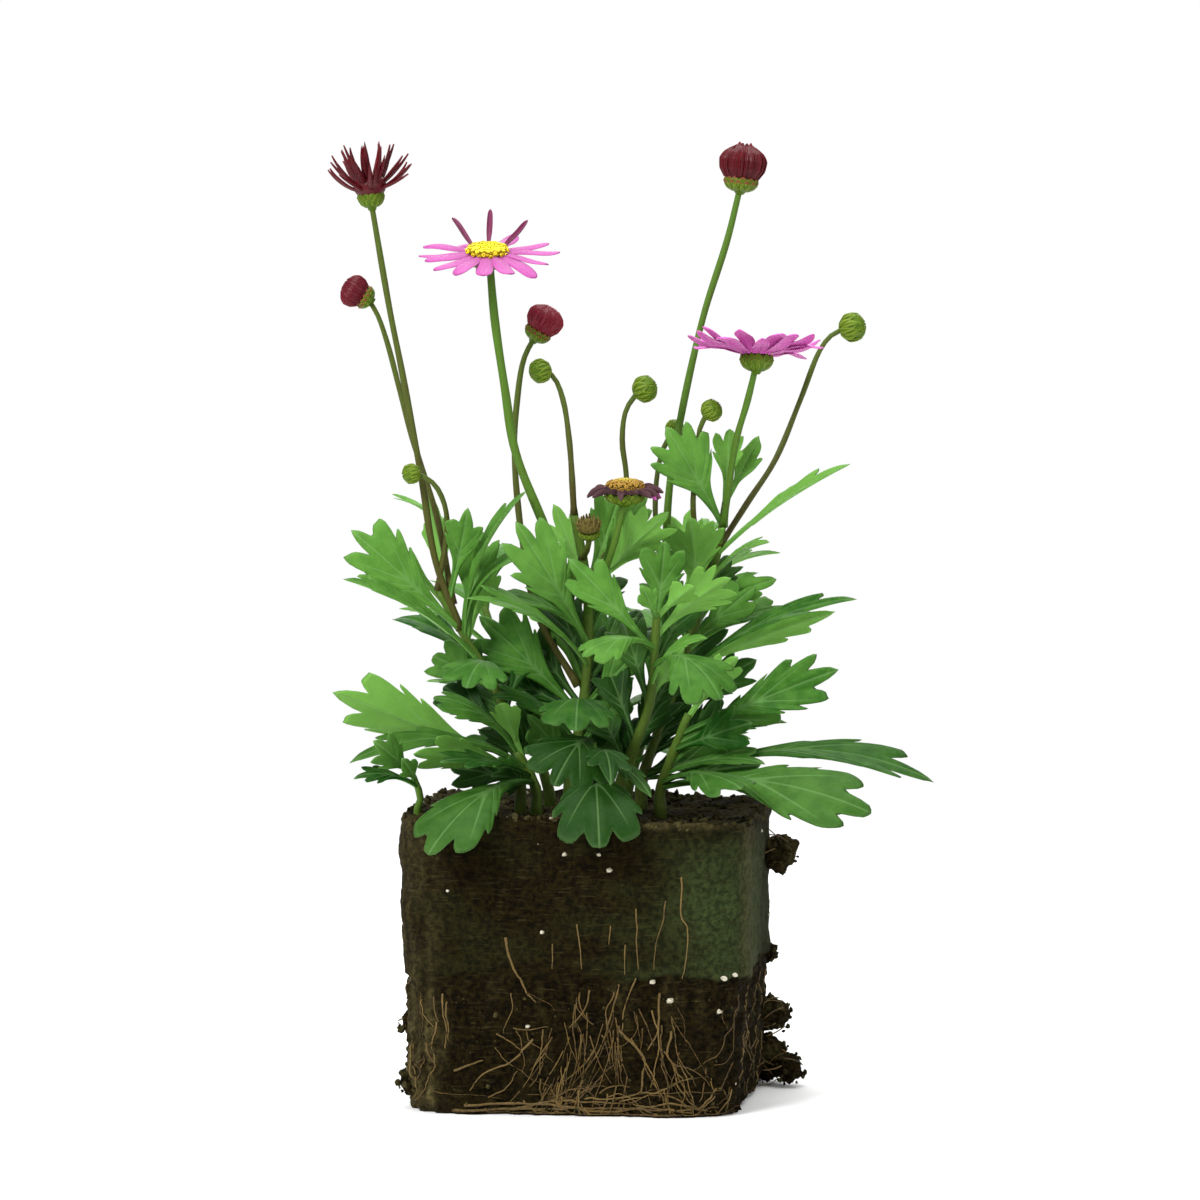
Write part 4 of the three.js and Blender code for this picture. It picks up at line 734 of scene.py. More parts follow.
def aim(thing: bpy.types.Object, goal: Vector) -> None:
    """Turn a lamp or a camera to a point."""
    thing.rotation_euler = (goal - thing.location).to_track_quat("-Z", "Y").to_euler()


def place_piece(
    name: str, patches: list[Patch], material: Material, slot: str, nodes: tuple[str, ...]
) -> None:
    """Join patches into one object, dress it and put it in the frame.

    Args:
        name: The object's name.
        patches: What it is made of, in millimetres.
        material: Its finish.
        slot: The material slot that it stands for. Not used.
        nodes: The CAD nodes that it replaces.
    """
    starts = np.cumsum([0] + [len(patch.points) for patch in patches])
    faces = [
        tuple(face) for start, patch in zip(starts, patches)
        for run in patch.faces for face in (run + start).tolist()
    ]
    mesh = bpy.data.meshes.new(name)
    mesh.from_pydata(np.vstack([p.points for p in patches]) * MM, [], faces)
    for value in sorted({key for patch in patches for key in patch.values}):
        numbers = [p.values.get(value, np.zeros(len(p.points))) for p in patches]
        layer = mesh.attributes.new(value, "FLOAT", "POINT")
        layer.data.foreach_set("value", np.concatenate(numbers).astype(np.float32))
    bm = bmesh.new()
    bm.from_mesh(mesh)
    bmesh.ops.remove_doubles(bm, verts=bm.verts, dist=WELD)
    bmesh.ops.recalc_face_normals(bm, faces=bm.faces)
    bm.to_mesh(mesh)
    bm.free()
    mesh.shade_smooth()
    mesh.materials.append(material)
    piece = link(name, mesh)
    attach(piece, "root")
    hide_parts(*nodes)
    triangles = sum(len(face.vertices) - 2 for face in mesh.polygons)
    log.info("%s: %d triangles", name, triangles)


# Finishes

Colour = tuple[float, float, float, float]


def paint(red: int, green: int, blue: int) -> Colour:
    """A colour as a screen shows it, from 0 to 255, in the shader's own scale."""
    return (*(float(x) for x in (np.array([red, green, blue]) / 255) ** 2.2), 1.0)


class Bench:
    """Places shader nodes in one tree and joins them."""

    def __init__(self, tree: bpy.types.NodeTree) -> None:
        """Keep the tree that the nodes go into."""
        self.tree = tree

    def add(self, kind: str, inputs: dict[str | int, object], **settings: object) -> bpy.types.Node:
        """Add a node.

        Args:
            kind: Its type.
            inputs: What goes into its sockets: a socket to link from, or a value.
            **settings: Its own settings.

        Returns:
            The node.
        """
        node = self.tree.nodes.new(kind)
        for name, value in settings.items():
            setattr(node, name, value)
        for name, value in inputs.items():
            if isinstance(value, Socket):
                self.tree.links.new(value, node.inputs[name])
            else:
                node.inputs[name].default_value = value
        return node

    def value(self, name: str) -> Socket:
        """A number that the mesh carries."""
        return self.add("ShaderNodeAttribute", {}, attribute_name=name).outputs["Fac"]

    def maths(self, operation: str, *numbers: object) -> Socket:
        """Arithmetic on one to three numbers."""
        inputs = dict(enumerate(numbers))
        return self.add("ShaderNodeMath", inputs, operation=operation).outputs[0]

    def times(self, first: object, second: object) -> Socket:
        """A product of two numbers."""
        return self.maths("MULTIPLY", first, second)

    def size(self, number: Socket) -> Socket:
        """A number without its sign."""
        return self.maths("ABSOLUTE", number)

    def rest(self, number: Socket) -> Socket:
        """What a number lacks to 1."""
        return self.maths("SUBTRACT", 1.0, number)

    def spread(self, number: object, low: float, high: float) -> Socket:
        """A smooth step from 0 at low to 1 at high."""
        inputs = {"Value": number, "From Min": low, "From Max": high}
        node = self.add("ShaderNodeMapRange", inputs, interpolation_type="SMOOTHSTEP")
        return node.outputs["Result"]

    def mix(self, share: object, first: object, second: object) -> Socket:
        """A blend of two colours."""
        node = self.add("ShaderNodeMix", {0: share, 6: first, 7: second}, data_type="RGBA")
        return node.outputs[2]

    def grain(self, size: float, detail: float = 4.0, stretch: Point = (1, 1, 1)) -> Socket:
        """Noise from 0 to 1 with lumps of a size in millimetres."""
        where = self.add("ShaderNodeTexCoord", {}).outputs["Object"]
        scale = tuple(1000 / size / k for k in stretch)
        grid = self.add("ShaderNodeVectorMath", {0: where, 1: scale}, operation="MULTIPLY")
        inputs = {"Vector": grid.outputs[0], "Scale": 1.0, "Detail": detail, "Roughness": 0.6}
        return self.add("ShaderNodeTexNoise", inputs).outputs["Fac"]

    def bump(self, height: object, depth: float) -> Socket:
        """Normals of a relief whose depth is in millimetres."""
        inputs = {"Strength": 1.0, "Distance": depth * MM, "Height": height}
        return self.add("ShaderNodeBump", inputs).outputs["Normal"]

    def effect(self, shared: "SharedEffect", inputs: dict[str, object]) -> bpy.types.NodeOutputs:
        """Place a shared effect and give its outputs."""
        return self.add("ShaderNodeGroup", inputs, node_tree=shared.tree).outputs


Sockets = dict[str, Socket]


@dataclass(frozen=True)
class SharedEffect:
    """A shader node group that several finishes place.

    It takes numbers, each with a plain value, and gives the sockets that its fill returns.
    """

    name: str
    takes: dict[str, float]
    gives: tuple[str, ...]
    fill: Callable[[Bench, Sockets], tuple[Socket, ...]]

    @property
    def tree(self) -> bpy.types.NodeTree:
        """The group, made at its first use."""
        tree = bpy.data.node_groups.get(self.name)
        if tree is not None:
            return tree
        tree = bpy.data.node_groups.new(self.name, "ShaderNodeTree")
        kind = "NodeSocketFloat"
        for name, plain in self.takes.items():
            socket = tree.interface.new_socket(name=name, in_out="INPUT", socket_type=kind)
            socket.default_value = plain
        for name in self.gives:
            tree.interface.new_socket(name=name, in_out="OUTPUT", socket_type=kind)
        start = tree.nodes.new("NodeGroupInput").outputs
        end = tree.nodes.new("NodeGroupOutput").inputs
        made = self.fill(Bench(tree), {name: start[name] for name in self.takes})
        for name, socket in zip(self.gives, made):
            tree.links.new(socket, end[name])
        return tree


def mottle(bench: Bench, takes: Sockets) -> tuple[Socket, ...]:
    """Broad patches, fine down and a soft relief."""
    patches = bench.spread(bench.grain(4.5, 3), 0.3, 0.7)
    down = bench.spread(bench.grain(0.28, 2), 0.5, 0.75)
    relief = bench.maths("MULTIPLY_ADD", down, 0.08, bench.grain(1.1, 2))
    return patches, bench.times(down, takes["Down"]), relief


def streaks(bench: Bench, takes: Sockets) -> tuple[Socket, ...]:
    """Lengthwise nerves, from across and along values."""
    shift = bench.maths("MULTIPLY_ADD", takes["Tint"], 9.0, takes["Along"])
    inputs = {"X": bench.times(takes["Across"], 3.6), "Y": shift}
    place = bench.add("ShaderNodeCombineXYZ", inputs).outputs[0]
    inputs = {"Vector": place, "Scale": 1.0, "Detail": 3.0, "Roughness": 0.6}
    streak = bench.add("ShaderNodeTexNoise", inputs).outputs["Fac"]
    return bench.spread(streak, 0.32, 0.68), streak


def crumble(bench: Bench, takes: Sockets) -> tuple[Socket, ...]:
    """Crumbs, pores in painted shade and fibres, and their relief."""
    crumb = bench.grain(1.3, 5)
    pore = bench.spread(bench.grain(0.6, 3), 0.62, 0.75)
    fibre = bench.spread(bench.grain(0.5, 3, (9, 9, 1)), 0.56, 0.7)
    fibres = bench.times(fibre, takes["Fibres"])
    raised = bench.maths("MULTIPLY_ADD", fibres, 0.3, crumb)
    relief = bench.maths("MULTIPLY_ADD", pore, -0.4, raised)
    return bench.spread(crumb, 0.36, 0.66), pore, fibres, relief


PLANT_MOTTLE = SharedEffect(
    "plant_mottle", {"Down": 0.5}, ("Patches", "Speckle", "Height"), mottle
)
PETAL_STREAKS = SharedEffect(
    "petal_streaks", {"Across": 0.0, "Along": 0.0, "Tint": 0.0}, ("Streak", "Height"), streaks
)
PEAT_GRAIN = SharedEffect(
    "peat_grain", {"Fibres": 0.5}, ("Crumb", "Pore", "Fibre", "Height"), crumble
)


@dataclass(frozen=True)
class Finish:
    """What every finish has: a name, roughness, gloss, soft sheen and light that comes through."""

    name: str
    roughness: float = 0.6
    gloss: float = 0.35
    sheen: float = 0.0
    glow: float = 0.0

    def material(self) -> Material:
        """Build the material. The nodes of one that is already there stay, and it shows them."""
        material = bpy.data.materials.get(self.name)
        if material is None:
            material = bpy.data.materials.new(self.name)
            material.use_nodes = True
            material.node_tree.nodes.clear()
        self.dress(Bench(material.node_tree))
        return material

    def dress(self, bench: Bench) -> None:
        """Place the nodes, which each finish does in its own way."""
        raise NotImplementedError

    def surface(
        self, bench: Bench, colour: Socket, normal: Socket, through: Socket | None = None
    ) -> None:
        """Close a material with its shader.

        Args:
            bench: The bench that holds the material's nodes.
            colour: Its colour.
            normal: Its normals.
            through: The colour of light that comes through it, if any does.
        """
        shader = bench.add("ShaderNodeBsdfPrincipled", {
            "Base Color": colour, "Roughness": self.roughness, "Normal": normal,
            "Specular IOR Level": self.gloss, "Sheen Weight": self.sheen, "Sheen Roughness": 0.6,
        }).outputs[0]
        if through is not None:
            lit = bench.add("ShaderNodeBsdfTranslucent", {"Color": through}).outputs[0]
            parts = {0: self.glow, 1: shader, 2: lit}
            shader = bench.add("ShaderNodeMixShader", parts).outputs[0]
        bench.add("ShaderNodeOutputMaterial", {"Surface": shader})


@dataclass(frozen=True)
class LeafFinish(Finish):
    """Downy green leaf with a paler underside, veins and margin."""

    deep: Colour = paint(27, 74, 11)
    fresh: Colour = paint(98, 149, 62)
    under: Colour = paint(116, 170, 76)
    vein: Colour = paint(134, 174, 110)
    shaded: Colour = paint(14, 44, 5)

    def dress(self, bench: Bench) -> None:
        """Place the nodes."""
        mottle = bench.effect(PLANT_MOTTLE, {"Down": 0.6})
        midrib = bench.rest(bench.spread(bench.size(bench.value("side")), 0.08, 0.42))
        lateral = bench.rest(bench.spread(bench.size(bench.value("rib")), 0.03, 0.22))
        fading = bench.rest(bench.spread(bench.value("reach"), 0.5, 0.95))
        vein = bench.maths("MAXIMUM", midrib, bench.times(lateral, fading))
        share = bench.maths("MULTIPLY_ADD", mottle["Patches"], 0.3, bench.value("tint"))
        top = bench.mix(share, self.deep, self.fresh)
        # Painted shade: the dark value turns the upper face toward the shaded green
        top = bench.mix(bench.value("dark"), top, self.shaded)
        top = bench.mix(bench.times(mottle["Speckle"], 0.1), top, self.vein)
        top = bench.mix(bench.times(vein, 0.2), top, self.vein)
        margin = bench.spread(bench.value("reach"), 0.93, 1.0)
        top = bench.mix(bench.times(margin, 0.18), top, self.vein)
        below = bench.mix(bench.times(mottle["Patches"], 0.4), self.under, self.fresh)
        below = bench.mix(bench.times(vein, 0.25), below, self.vein)
        # Painted shade on the underside as well, toward the deep green
        below = bench.mix(bench.times(bench.value("dark"), 0.6), below, self.deep)
        colour = bench.mix(bench.spread(bench.value("under"), 0.35, 0.65), top, below)
        height = bench.maths("MULTIPLY_ADD", vein, -0.6, mottle["Height"])
        self.surface(bench, colour, bench.bump(height, 0.13), below)


@dataclass(frozen=True)
class StalkFinish(Finish):
    """Green stalk that turns brown and wine red, with faint ribs and down."""

    green: Colour = paint(72, 106, 34)
    brown: Colour = paint(70, 58, 30)
    wine: Colour = paint(62, 24, 26)

    def dress(self, bench: Bench) -> None:
        """Place the nodes."""
        mottle = bench.effect(PLANT_MOTTLE, {"Down": 0.5})
        streak = bench.spread(bench.grain(0.35, 2, (1, 1, 14)), 0.35, 0.7)
        turn = bench.maths("MULTIPLY_ADD", streak, 0.22, bench.value("brown"))
        colour = bench.mix(turn, self.green, self.brown)
        colour = bench.mix(bench.value("wine"), colour, self.wine)
        colour = bench.mix(bench.times(mottle["Speckle"], 0.12), colour, paint(150, 158, 110))
        relief = bench.maths("MULTIPLY_ADD", streak, 0.5, mottle["Height"])
        self.surface(bench, colour, bench.bump(relief, 0.08))


@dataclass(frozen=True)
class BractFinish(Finish):
    """Yellow-green bracts and cups, paler at the margin and darker down the middle."""

    middle: Colour = paint(72, 98, 20)
    margin: Colour = paint(112, 132, 42)
    flush: Colour = paint(122, 44, 44)

    def dress(self, bench: Bench) -> None:
        """Place the nodes."""
        mottle = bench.effect(PLANT_MOTTLE, {"Down": 0.7})
        side = bench.size(bench.value("across"))
        colour = bench.mix(bench.spread(side, 0.5, 1.1), self.middle, self.margin)
        colour = bench.mix(bench.times(mottle["Speckle"], 0.2), colour, self.margin)
        outer = bench.spread(bench.value("along"), 0.55, 1.0)
        flushed = bench.times(outer, bench.value("flush"))
        colour = bench.mix(flushed, colour, self.flush)
        self.surface(bench, colour, bench.bump(mottle["Height"], 0.1))


@dataclass(frozen=True)
class PetalFinish(Finish):
    """Petal with lengthwise nerves: one colour at its foot, one at its tip, one on its back."""

    foot: Colour = paint(150, 40, 124)
    tip: Colour = paint(172, 60, 146)
    streak: Colour = paint(200, 106, 178)
    back: Colour = paint(104, 18, 60)
    nerves: float = 0.3

    def dress(self, bench: Bench) -> None:
        """Place the nodes."""
        values = {name: bench.value(name.lower()) for name in PETAL_STREAKS.takes}
        nerve = bench.effect(PETAL_STREAKS, values)
        colour = bench.mix(bench.spread(bench.value("along"), 0.0, 0.8), self.foot, self.tip)
        colour = bench.mix(bench.times(nerve["Streak"], self.nerves), colour, self.streak)
        back = bench.mix(bench.times(nerve["Streak"], self.nerves * 0.5), self.back, self.tip)
        colour = bench.mix(bench.spread(bench.value("under"), 0.3, 0.7), colour, back)
        # The dark value turns a petal toward its back colour: its own darker tones, and painted
        # shade on the collar, heart and core
        colour = bench.mix(bench.value("dark"), colour, self.back)
        self.surface(bench, colour, bench.bump(nerve["Height"], 0.12), colour)


@dataclass(frozen=True)
class FloretFinish(Finish):
    """Florets of the disc, from the young middle to the open rim, with painted shade in their pits.
    """

    young: Colour = paint(206, 204, 40)
    open: Colour = paint(236, 218, 40)
    hollow: Colour = paint(184, 150, 22)

    def dress(self, bench: Bench) -> None:
        """Place the nodes."""
        grain = bench.grain(0.3, 3)
        share = bench.maths("MULTIPLY_ADD", grain, 0.3, bench.value("along"))
        colour = bench.mix(bench.spread(share, 0.25, 0.75), self.young, self.open)
        # Painted shade in the pits between and inside the florets
        colour = bench.mix(bench.value("pit"), colour, self.hollow)
        self.surface(bench, colour, bench.bump(grain, 0.1))


@dataclass(frozen=True)
class PeatFinish(Finish):
    """Dark peat with fibres and pores, an algae bloom, and pale places of dry peat and painted
    light.
    """

    dark: Colour = paint(15, 12, 4)
    brown: Colour = paint(36, 30, 13)
    algae: Colour = paint(56, 68, 40)
    pale: Colour = paint(88, 80, 52)
    fibres: float = 0.5

    def dress(self, bench: Bench) -> None:
        """Place the nodes."""
        peat = bench.effect(PEAT_GRAIN, {"Fibres": self.fibres})
        streak = bench.spread(bench.grain(0.7, 4, (14, 14, 1)), 0.42, 0.68)
        colour = bench.mix(bench.times(peat["Crumb"], 0.75), self.dark, self.brown)
        uneven = bench.maths("MULTIPLY_ADD", peat["Crumb"], 0.6, 0.4)
        # The pale mark is partly dry peat and partly painted light
        for value, tone in (("algae", self.algae), ("pale", self.pale)):
            colour = bench.mix(bench.times(bench.value(value), uneven), colour, tone)
        skin = bench.times(bench.times(streak, 0.25), bench.value("skin"))
        colour = bench.mix(skin, colour, self.brown)
        colour = bench.mix(bench.times(peat["Fibre"], 0.35), colour, self.pale)
        # Painted shade in the pores
        colour = bench.mix(bench.times(peat["Pore"], 0.6), colour, paint(7, 5, 2))
        self.surface(bench, colour, bench.bump(peat["Height"], 0.5))


@dataclass(frozen=True)
class RootFinish(Finish):
    """Golden root that darkens where it is older."""

    gold: Colour = paint(84, 64, 26)
    old: Colour = paint(42, 32, 12)
    pale: Colour = paint(112, 92, 50)

    def dress(self, bench: Bench) -> None:
        """Place the nodes."""
        grain = bench.grain(0.9, 3)
        colour = bench.mix(bench.spread(grain, 0.35, 0.65), self.old, self.gold)
        colour = bench.mix(bench.times(bench.value("tint"), 0.8), colour, self.pale)
        self.surface(bench, colour, bench.bump(grain, 0.15))


@dataclass(frozen=True)
class FloorFinish(Finish):
    """Pale floor that fades into the backdrop."""

    reach: float = 0.9
    tone: Colour = paint(246, 246, 246)

    def dress(self, bench: Bench) -> None:
        """Place the nodes."""
        place = bench.add("ShaderNodeTexCoord", {}).outputs["Object"]
        away = bench.add("ShaderNodeVectorMath", {0: place}, operation="LENGTH").outputs["Value"]
        fade = bench.spread(away, self.reach * 0.25, self.reach)
        clear = bench.add("ShaderNodeBsdfTransparent", {}).outputs[0]
        solid = bench.add("ShaderNodeBsdfPrincipled", {"Base Color": self.tone, "Roughness": 0.8})
        both = bench.add("ShaderNodeMixShader", {0: fade, 1: solid.outputs[0], 2: clear})
        bench.add("ShaderNodeOutputMaterial", {"Surface": both.outputs[0]})


# Leaves and stalks


@dataclass(frozen=True)
class Midrib:
    """The midrib of a leaf, and the frame that its blade hangs on."""

    base: Array
    tip: Array
    up: Array
    arch: float

    @classmethod
    def of(cls, base: Array, tip: Array, face: Point, arch: float, lean: float) -> "Midrib":
        """Lay the midrib out.

        Args:
            base: Where it leaves its stalk.
            tip: Where it ends.
            face: The way that its upper face looks.
            arch: How far it bows.
            lean: How far its tip is moved back to clear its neighbours.

        Returns:
            The midrib.
        """
        tip = tip + np.array([0, lean, 0])
        way = unit(tip - base)
        return cls(base, tip, unit(np.array(face) - way * np.dot(face, way)), arch)

    def frame(self, share: Array) -> tuple[Array, Array, Array]:
        """Points, directions along it and normals at shares of its length, also past its tip."""
        chord = self.tip - self.base
        rise = self.up * self.arch * 4 / 3
        low, high = self.base + chord / 3 + rise, self.base + chord * 2 / 3 + rise
        knots = (self.base, low, high, self.tip)
        at = np.minimum(share, 1)[..., None]
        left = 1 - at
        place = (
            knots[0] * left**3 + 3 * knots[1] * left**2 * at
            + 3 * knots[2] * left * at**2 + knots[3] * at**3
        )
        along = unit(
            (knots[1] - knots[0]) * left**2 + 2 * (knots[2] - knots[1]) * left * at
            + (knots[3] - knots[2]) * at**2
        )
        past = (np.asarray(share)[..., None] - at) * np.linalg.norm(chord)
        normal = unit(self.up - along * (along @ self.up)[..., None])
        return place + along * past, along, normal


@dataclass
class LeafMaker:
    """Builds a lobed blade with its stalk, veins and a thin rounded margin."""

    stalk_rows: int = 9
    blade_rows: int = 46
    thick: float = 0.8
    thin: float = 0.34
    reaches: tuple[float, ...] = (0, 0.07, 0.2, 0.36, 0.53, 0.7, 0.84, 0.94, 1)
    fan_start: float = 0.28
    fan_end: float = 0.58

    def blade(self, leaf: Leaf, rib: Midrib, seed: int, dark: float) -> Patch:
        """Build one leaf.

        Args:
            leaf: Its entry in the list.
            rib: Its midrib.
            seed: What its random numbers start from.
            dark: How much painted shade darkens its green.

        Returns:
            The closed blade.
        """
        length = np.linalg.norm(rib.tip - rib.base) * 1.03
        half = leaf.width / 2
        outline = np.array(leaf.form.value) * (length, half)
        rim = smooth_path(outline, 0.2) / (length, 1)
        start = int(np.argmax(rim[:, 0] > self.fan_start))
        rows = np.r_[
            np.linspace(0, start, self.stalk_rows, endpoint=False),
            np.linspace(start, len(rim) - 1, self.blade_rows),
        ]
        rim_u, rim_v = (np.interp(rows, np.arange(len(rim)), rim[:, k]) for k in (0, 1))
        open_share = np.clip((rows - start) / (len(rim) - 1 - start), 0, 1)
        fan = self.fan_start + (self.fan_end - self.fan_start) * open_share**1.15
        mid_u = np.where(rows < start, rim_u, fan)
        stalk = LEAF_STALK_HALF_WIDTH * (1 - open_share) ** 2
        rim_v = np.maximum(rim_v, stalk)
        lobes = 4 if leaf.cup < 0 else 3 if leaf.width > 13 else 2 if leaf.width > 8.5 else 1
        margins = (rim_u, rim_v, mid_u, open_share)
        right, left = (self.half(leaf, rib, sign, seed, margins, lobes) for sign in (1, -1))
        values = {name: self.around(right[name], left[name]) for name in right}
        rings = values.pop("place")
        tint = 0.6 * draw(seed + 3) + (0.15 if leaf.width < 9 else -0.1)
        # Painted light: the upper leaves are paler
        tint += 0.4 * float(ease(PLAIN_HEIGHT, LIT_HEIGHT, rib.tip[2]))
        # The dark value is painted shade that the leaf finish mixes in
        values |= {"tint": same(tint), "dark": same(dark)}
        return ringed(rings, values, closed=False)

    @staticmethod
    def around(right: tuple[Array, Array], left: tuple[Array, Array]) -> Array:
        """Rings over the upper and the lower skin of both halves."""
        return np.concatenate(
            [right[0], right[1][:, -2::-1], left[1][:, 1:], left[0][:, -2:0:-1]], 1
        )

    def half(
        self, leaf: Leaf, rib: Midrib, sign: int, seed: int,
        margins: tuple[Array, Array, Array, Array], lobes: int,
    ) -> dict[str, tuple[Array, Array]]:
        """Build the upper and lower skin on one side of the midrib.

        Args:
            leaf: The leaf's entry in the list.
            rib: Its midrib.
            sign: 1 for its right side and -1 for its left.
            seed: What its random numbers start from.
            margins: Where each row meets the margin (along, across) and the midrib, and how far
                round the open blade it lies.
            lobes: Notches on this side.

        Returns:
            The corners of the upper and the lower skin as place, and a pair for each value.
        """
        def rand(k: int) -> float:
            """One number of this side."""
            return draw(seed * 1.7 + k + sign * 11)

        rim_u, rim_v, mid_u, share = margins
        crenate = leaf.cup < 0
        begin = 0.06 if crenate else 0.34
        teeth = np.clip((share - begin) / (1 - begin), 0, 1)
        wobble = 0.16 * np.sin(math.tau * (1.4 * teeth + rand(1))) * np.sin(math.pi * teeth)
        phase = (lobes + 0.5) * teeth**0.92 + wobble
        lobe = np.minimum(np.floor(phase), lobes).astype(int)
        wave = np.abs(np.sin(math.pi * np.minimum(phase, lobes + 0.5)))
        point = 1 - 2 * np.abs(phase - np.floor(phase) - 0.5)
        tooth = wave**0.45 if crenate else 0.35 * point + 0.65 * point**0.5
        least = 0.2 if crenate else 0.27
        deep = np.array([rand(10 + k) for k in range(lobes + 2)])
        depth = least + 0.16 * deep[np.round(phase).astype(int)]
        notch = depth * (1 - tooth) * ease(0.02, 0.22, teeth)
        notch += 0.035 * np.abs(np.sin(math.tau * (phase + 0.2))) * ease(0.1, 0.4, teeth)
        notch += 0.03 * np.sin(math.tau * (5 * share + rand(3))) * share * (1 - share)
        reach = np.array(self.reaches)
        keep = reach[None] * (1 - notch[:, None])
        u = mid_u[:, None] + (rim_u - mid_u)[:, None] * keep
        side = rim_v[:, None] * keep
        place, along, normal = rib.frame(u)
        across = np.cross(along, normal)
        spacing = leaf.width * 1.5 / (lobes + 0.5)
        rib_line = np.cos(math.pi * phase)[:, None] * spacing * keep / math.pi
        rib_line = np.where(share[:, None] > 0, rib_line, 9.0)
        lifts = np.array([*(rand(20 + k) for k in range(lobes)), draw(seed + 29)]) - 0.5
        lift = 0.12 * leaf.width * lifts[lobe][:, None] * wave[:, None] * reach**2
        lift += leaf.cup * (np.sqrt(side**2 + 0.36) - 0.6) - 0.02 * leaf.width * reach**6
        groove = 0.22 * np.exp(-((side / 0.5) ** 2)) * ease(0, 0.1, share)[:, None]
        quilt = 0.12 * (1 - np.exp(-((rib_line / 0.5) ** 2))) * reach * (1 - reach) * 4
        core = 0.3 * max(leaf.width / 2, 4.0)
        thick = self.thin + (self.thick - self.thin) * np.exp(-((side / core) ** 2))
        thick = np.where(share[:, None] > 0, thick, 0.95 - 0.15 * u / self.fan_start)
        body = thick / 2 * np.sqrt(np.maximum(1 - reach**6, 0))
        ridge = 0.25 * np.exp(-((side / 0.45) ** 2)) * ease(0, 0.1, share)[:, None]
        middle = place + across * (sign * side)[..., None]
        top = middle + normal * (lift + quilt - groove + body)[..., None]
        low = middle + normal * (lift + quilt - ridge - body)[..., None]
        flat = np.ones_like(side)
        under = np.where(reach == 1, 0.5, 1.0) * flat
        return {
            "place": (top, low),
            "side": (side, side),
            "rib": (rib_line, rib_line),
            "reach": (reach * flat, reach * flat),
            "under": (np.where(reach == 1, 0.5, 0.0) * flat, under),
        }


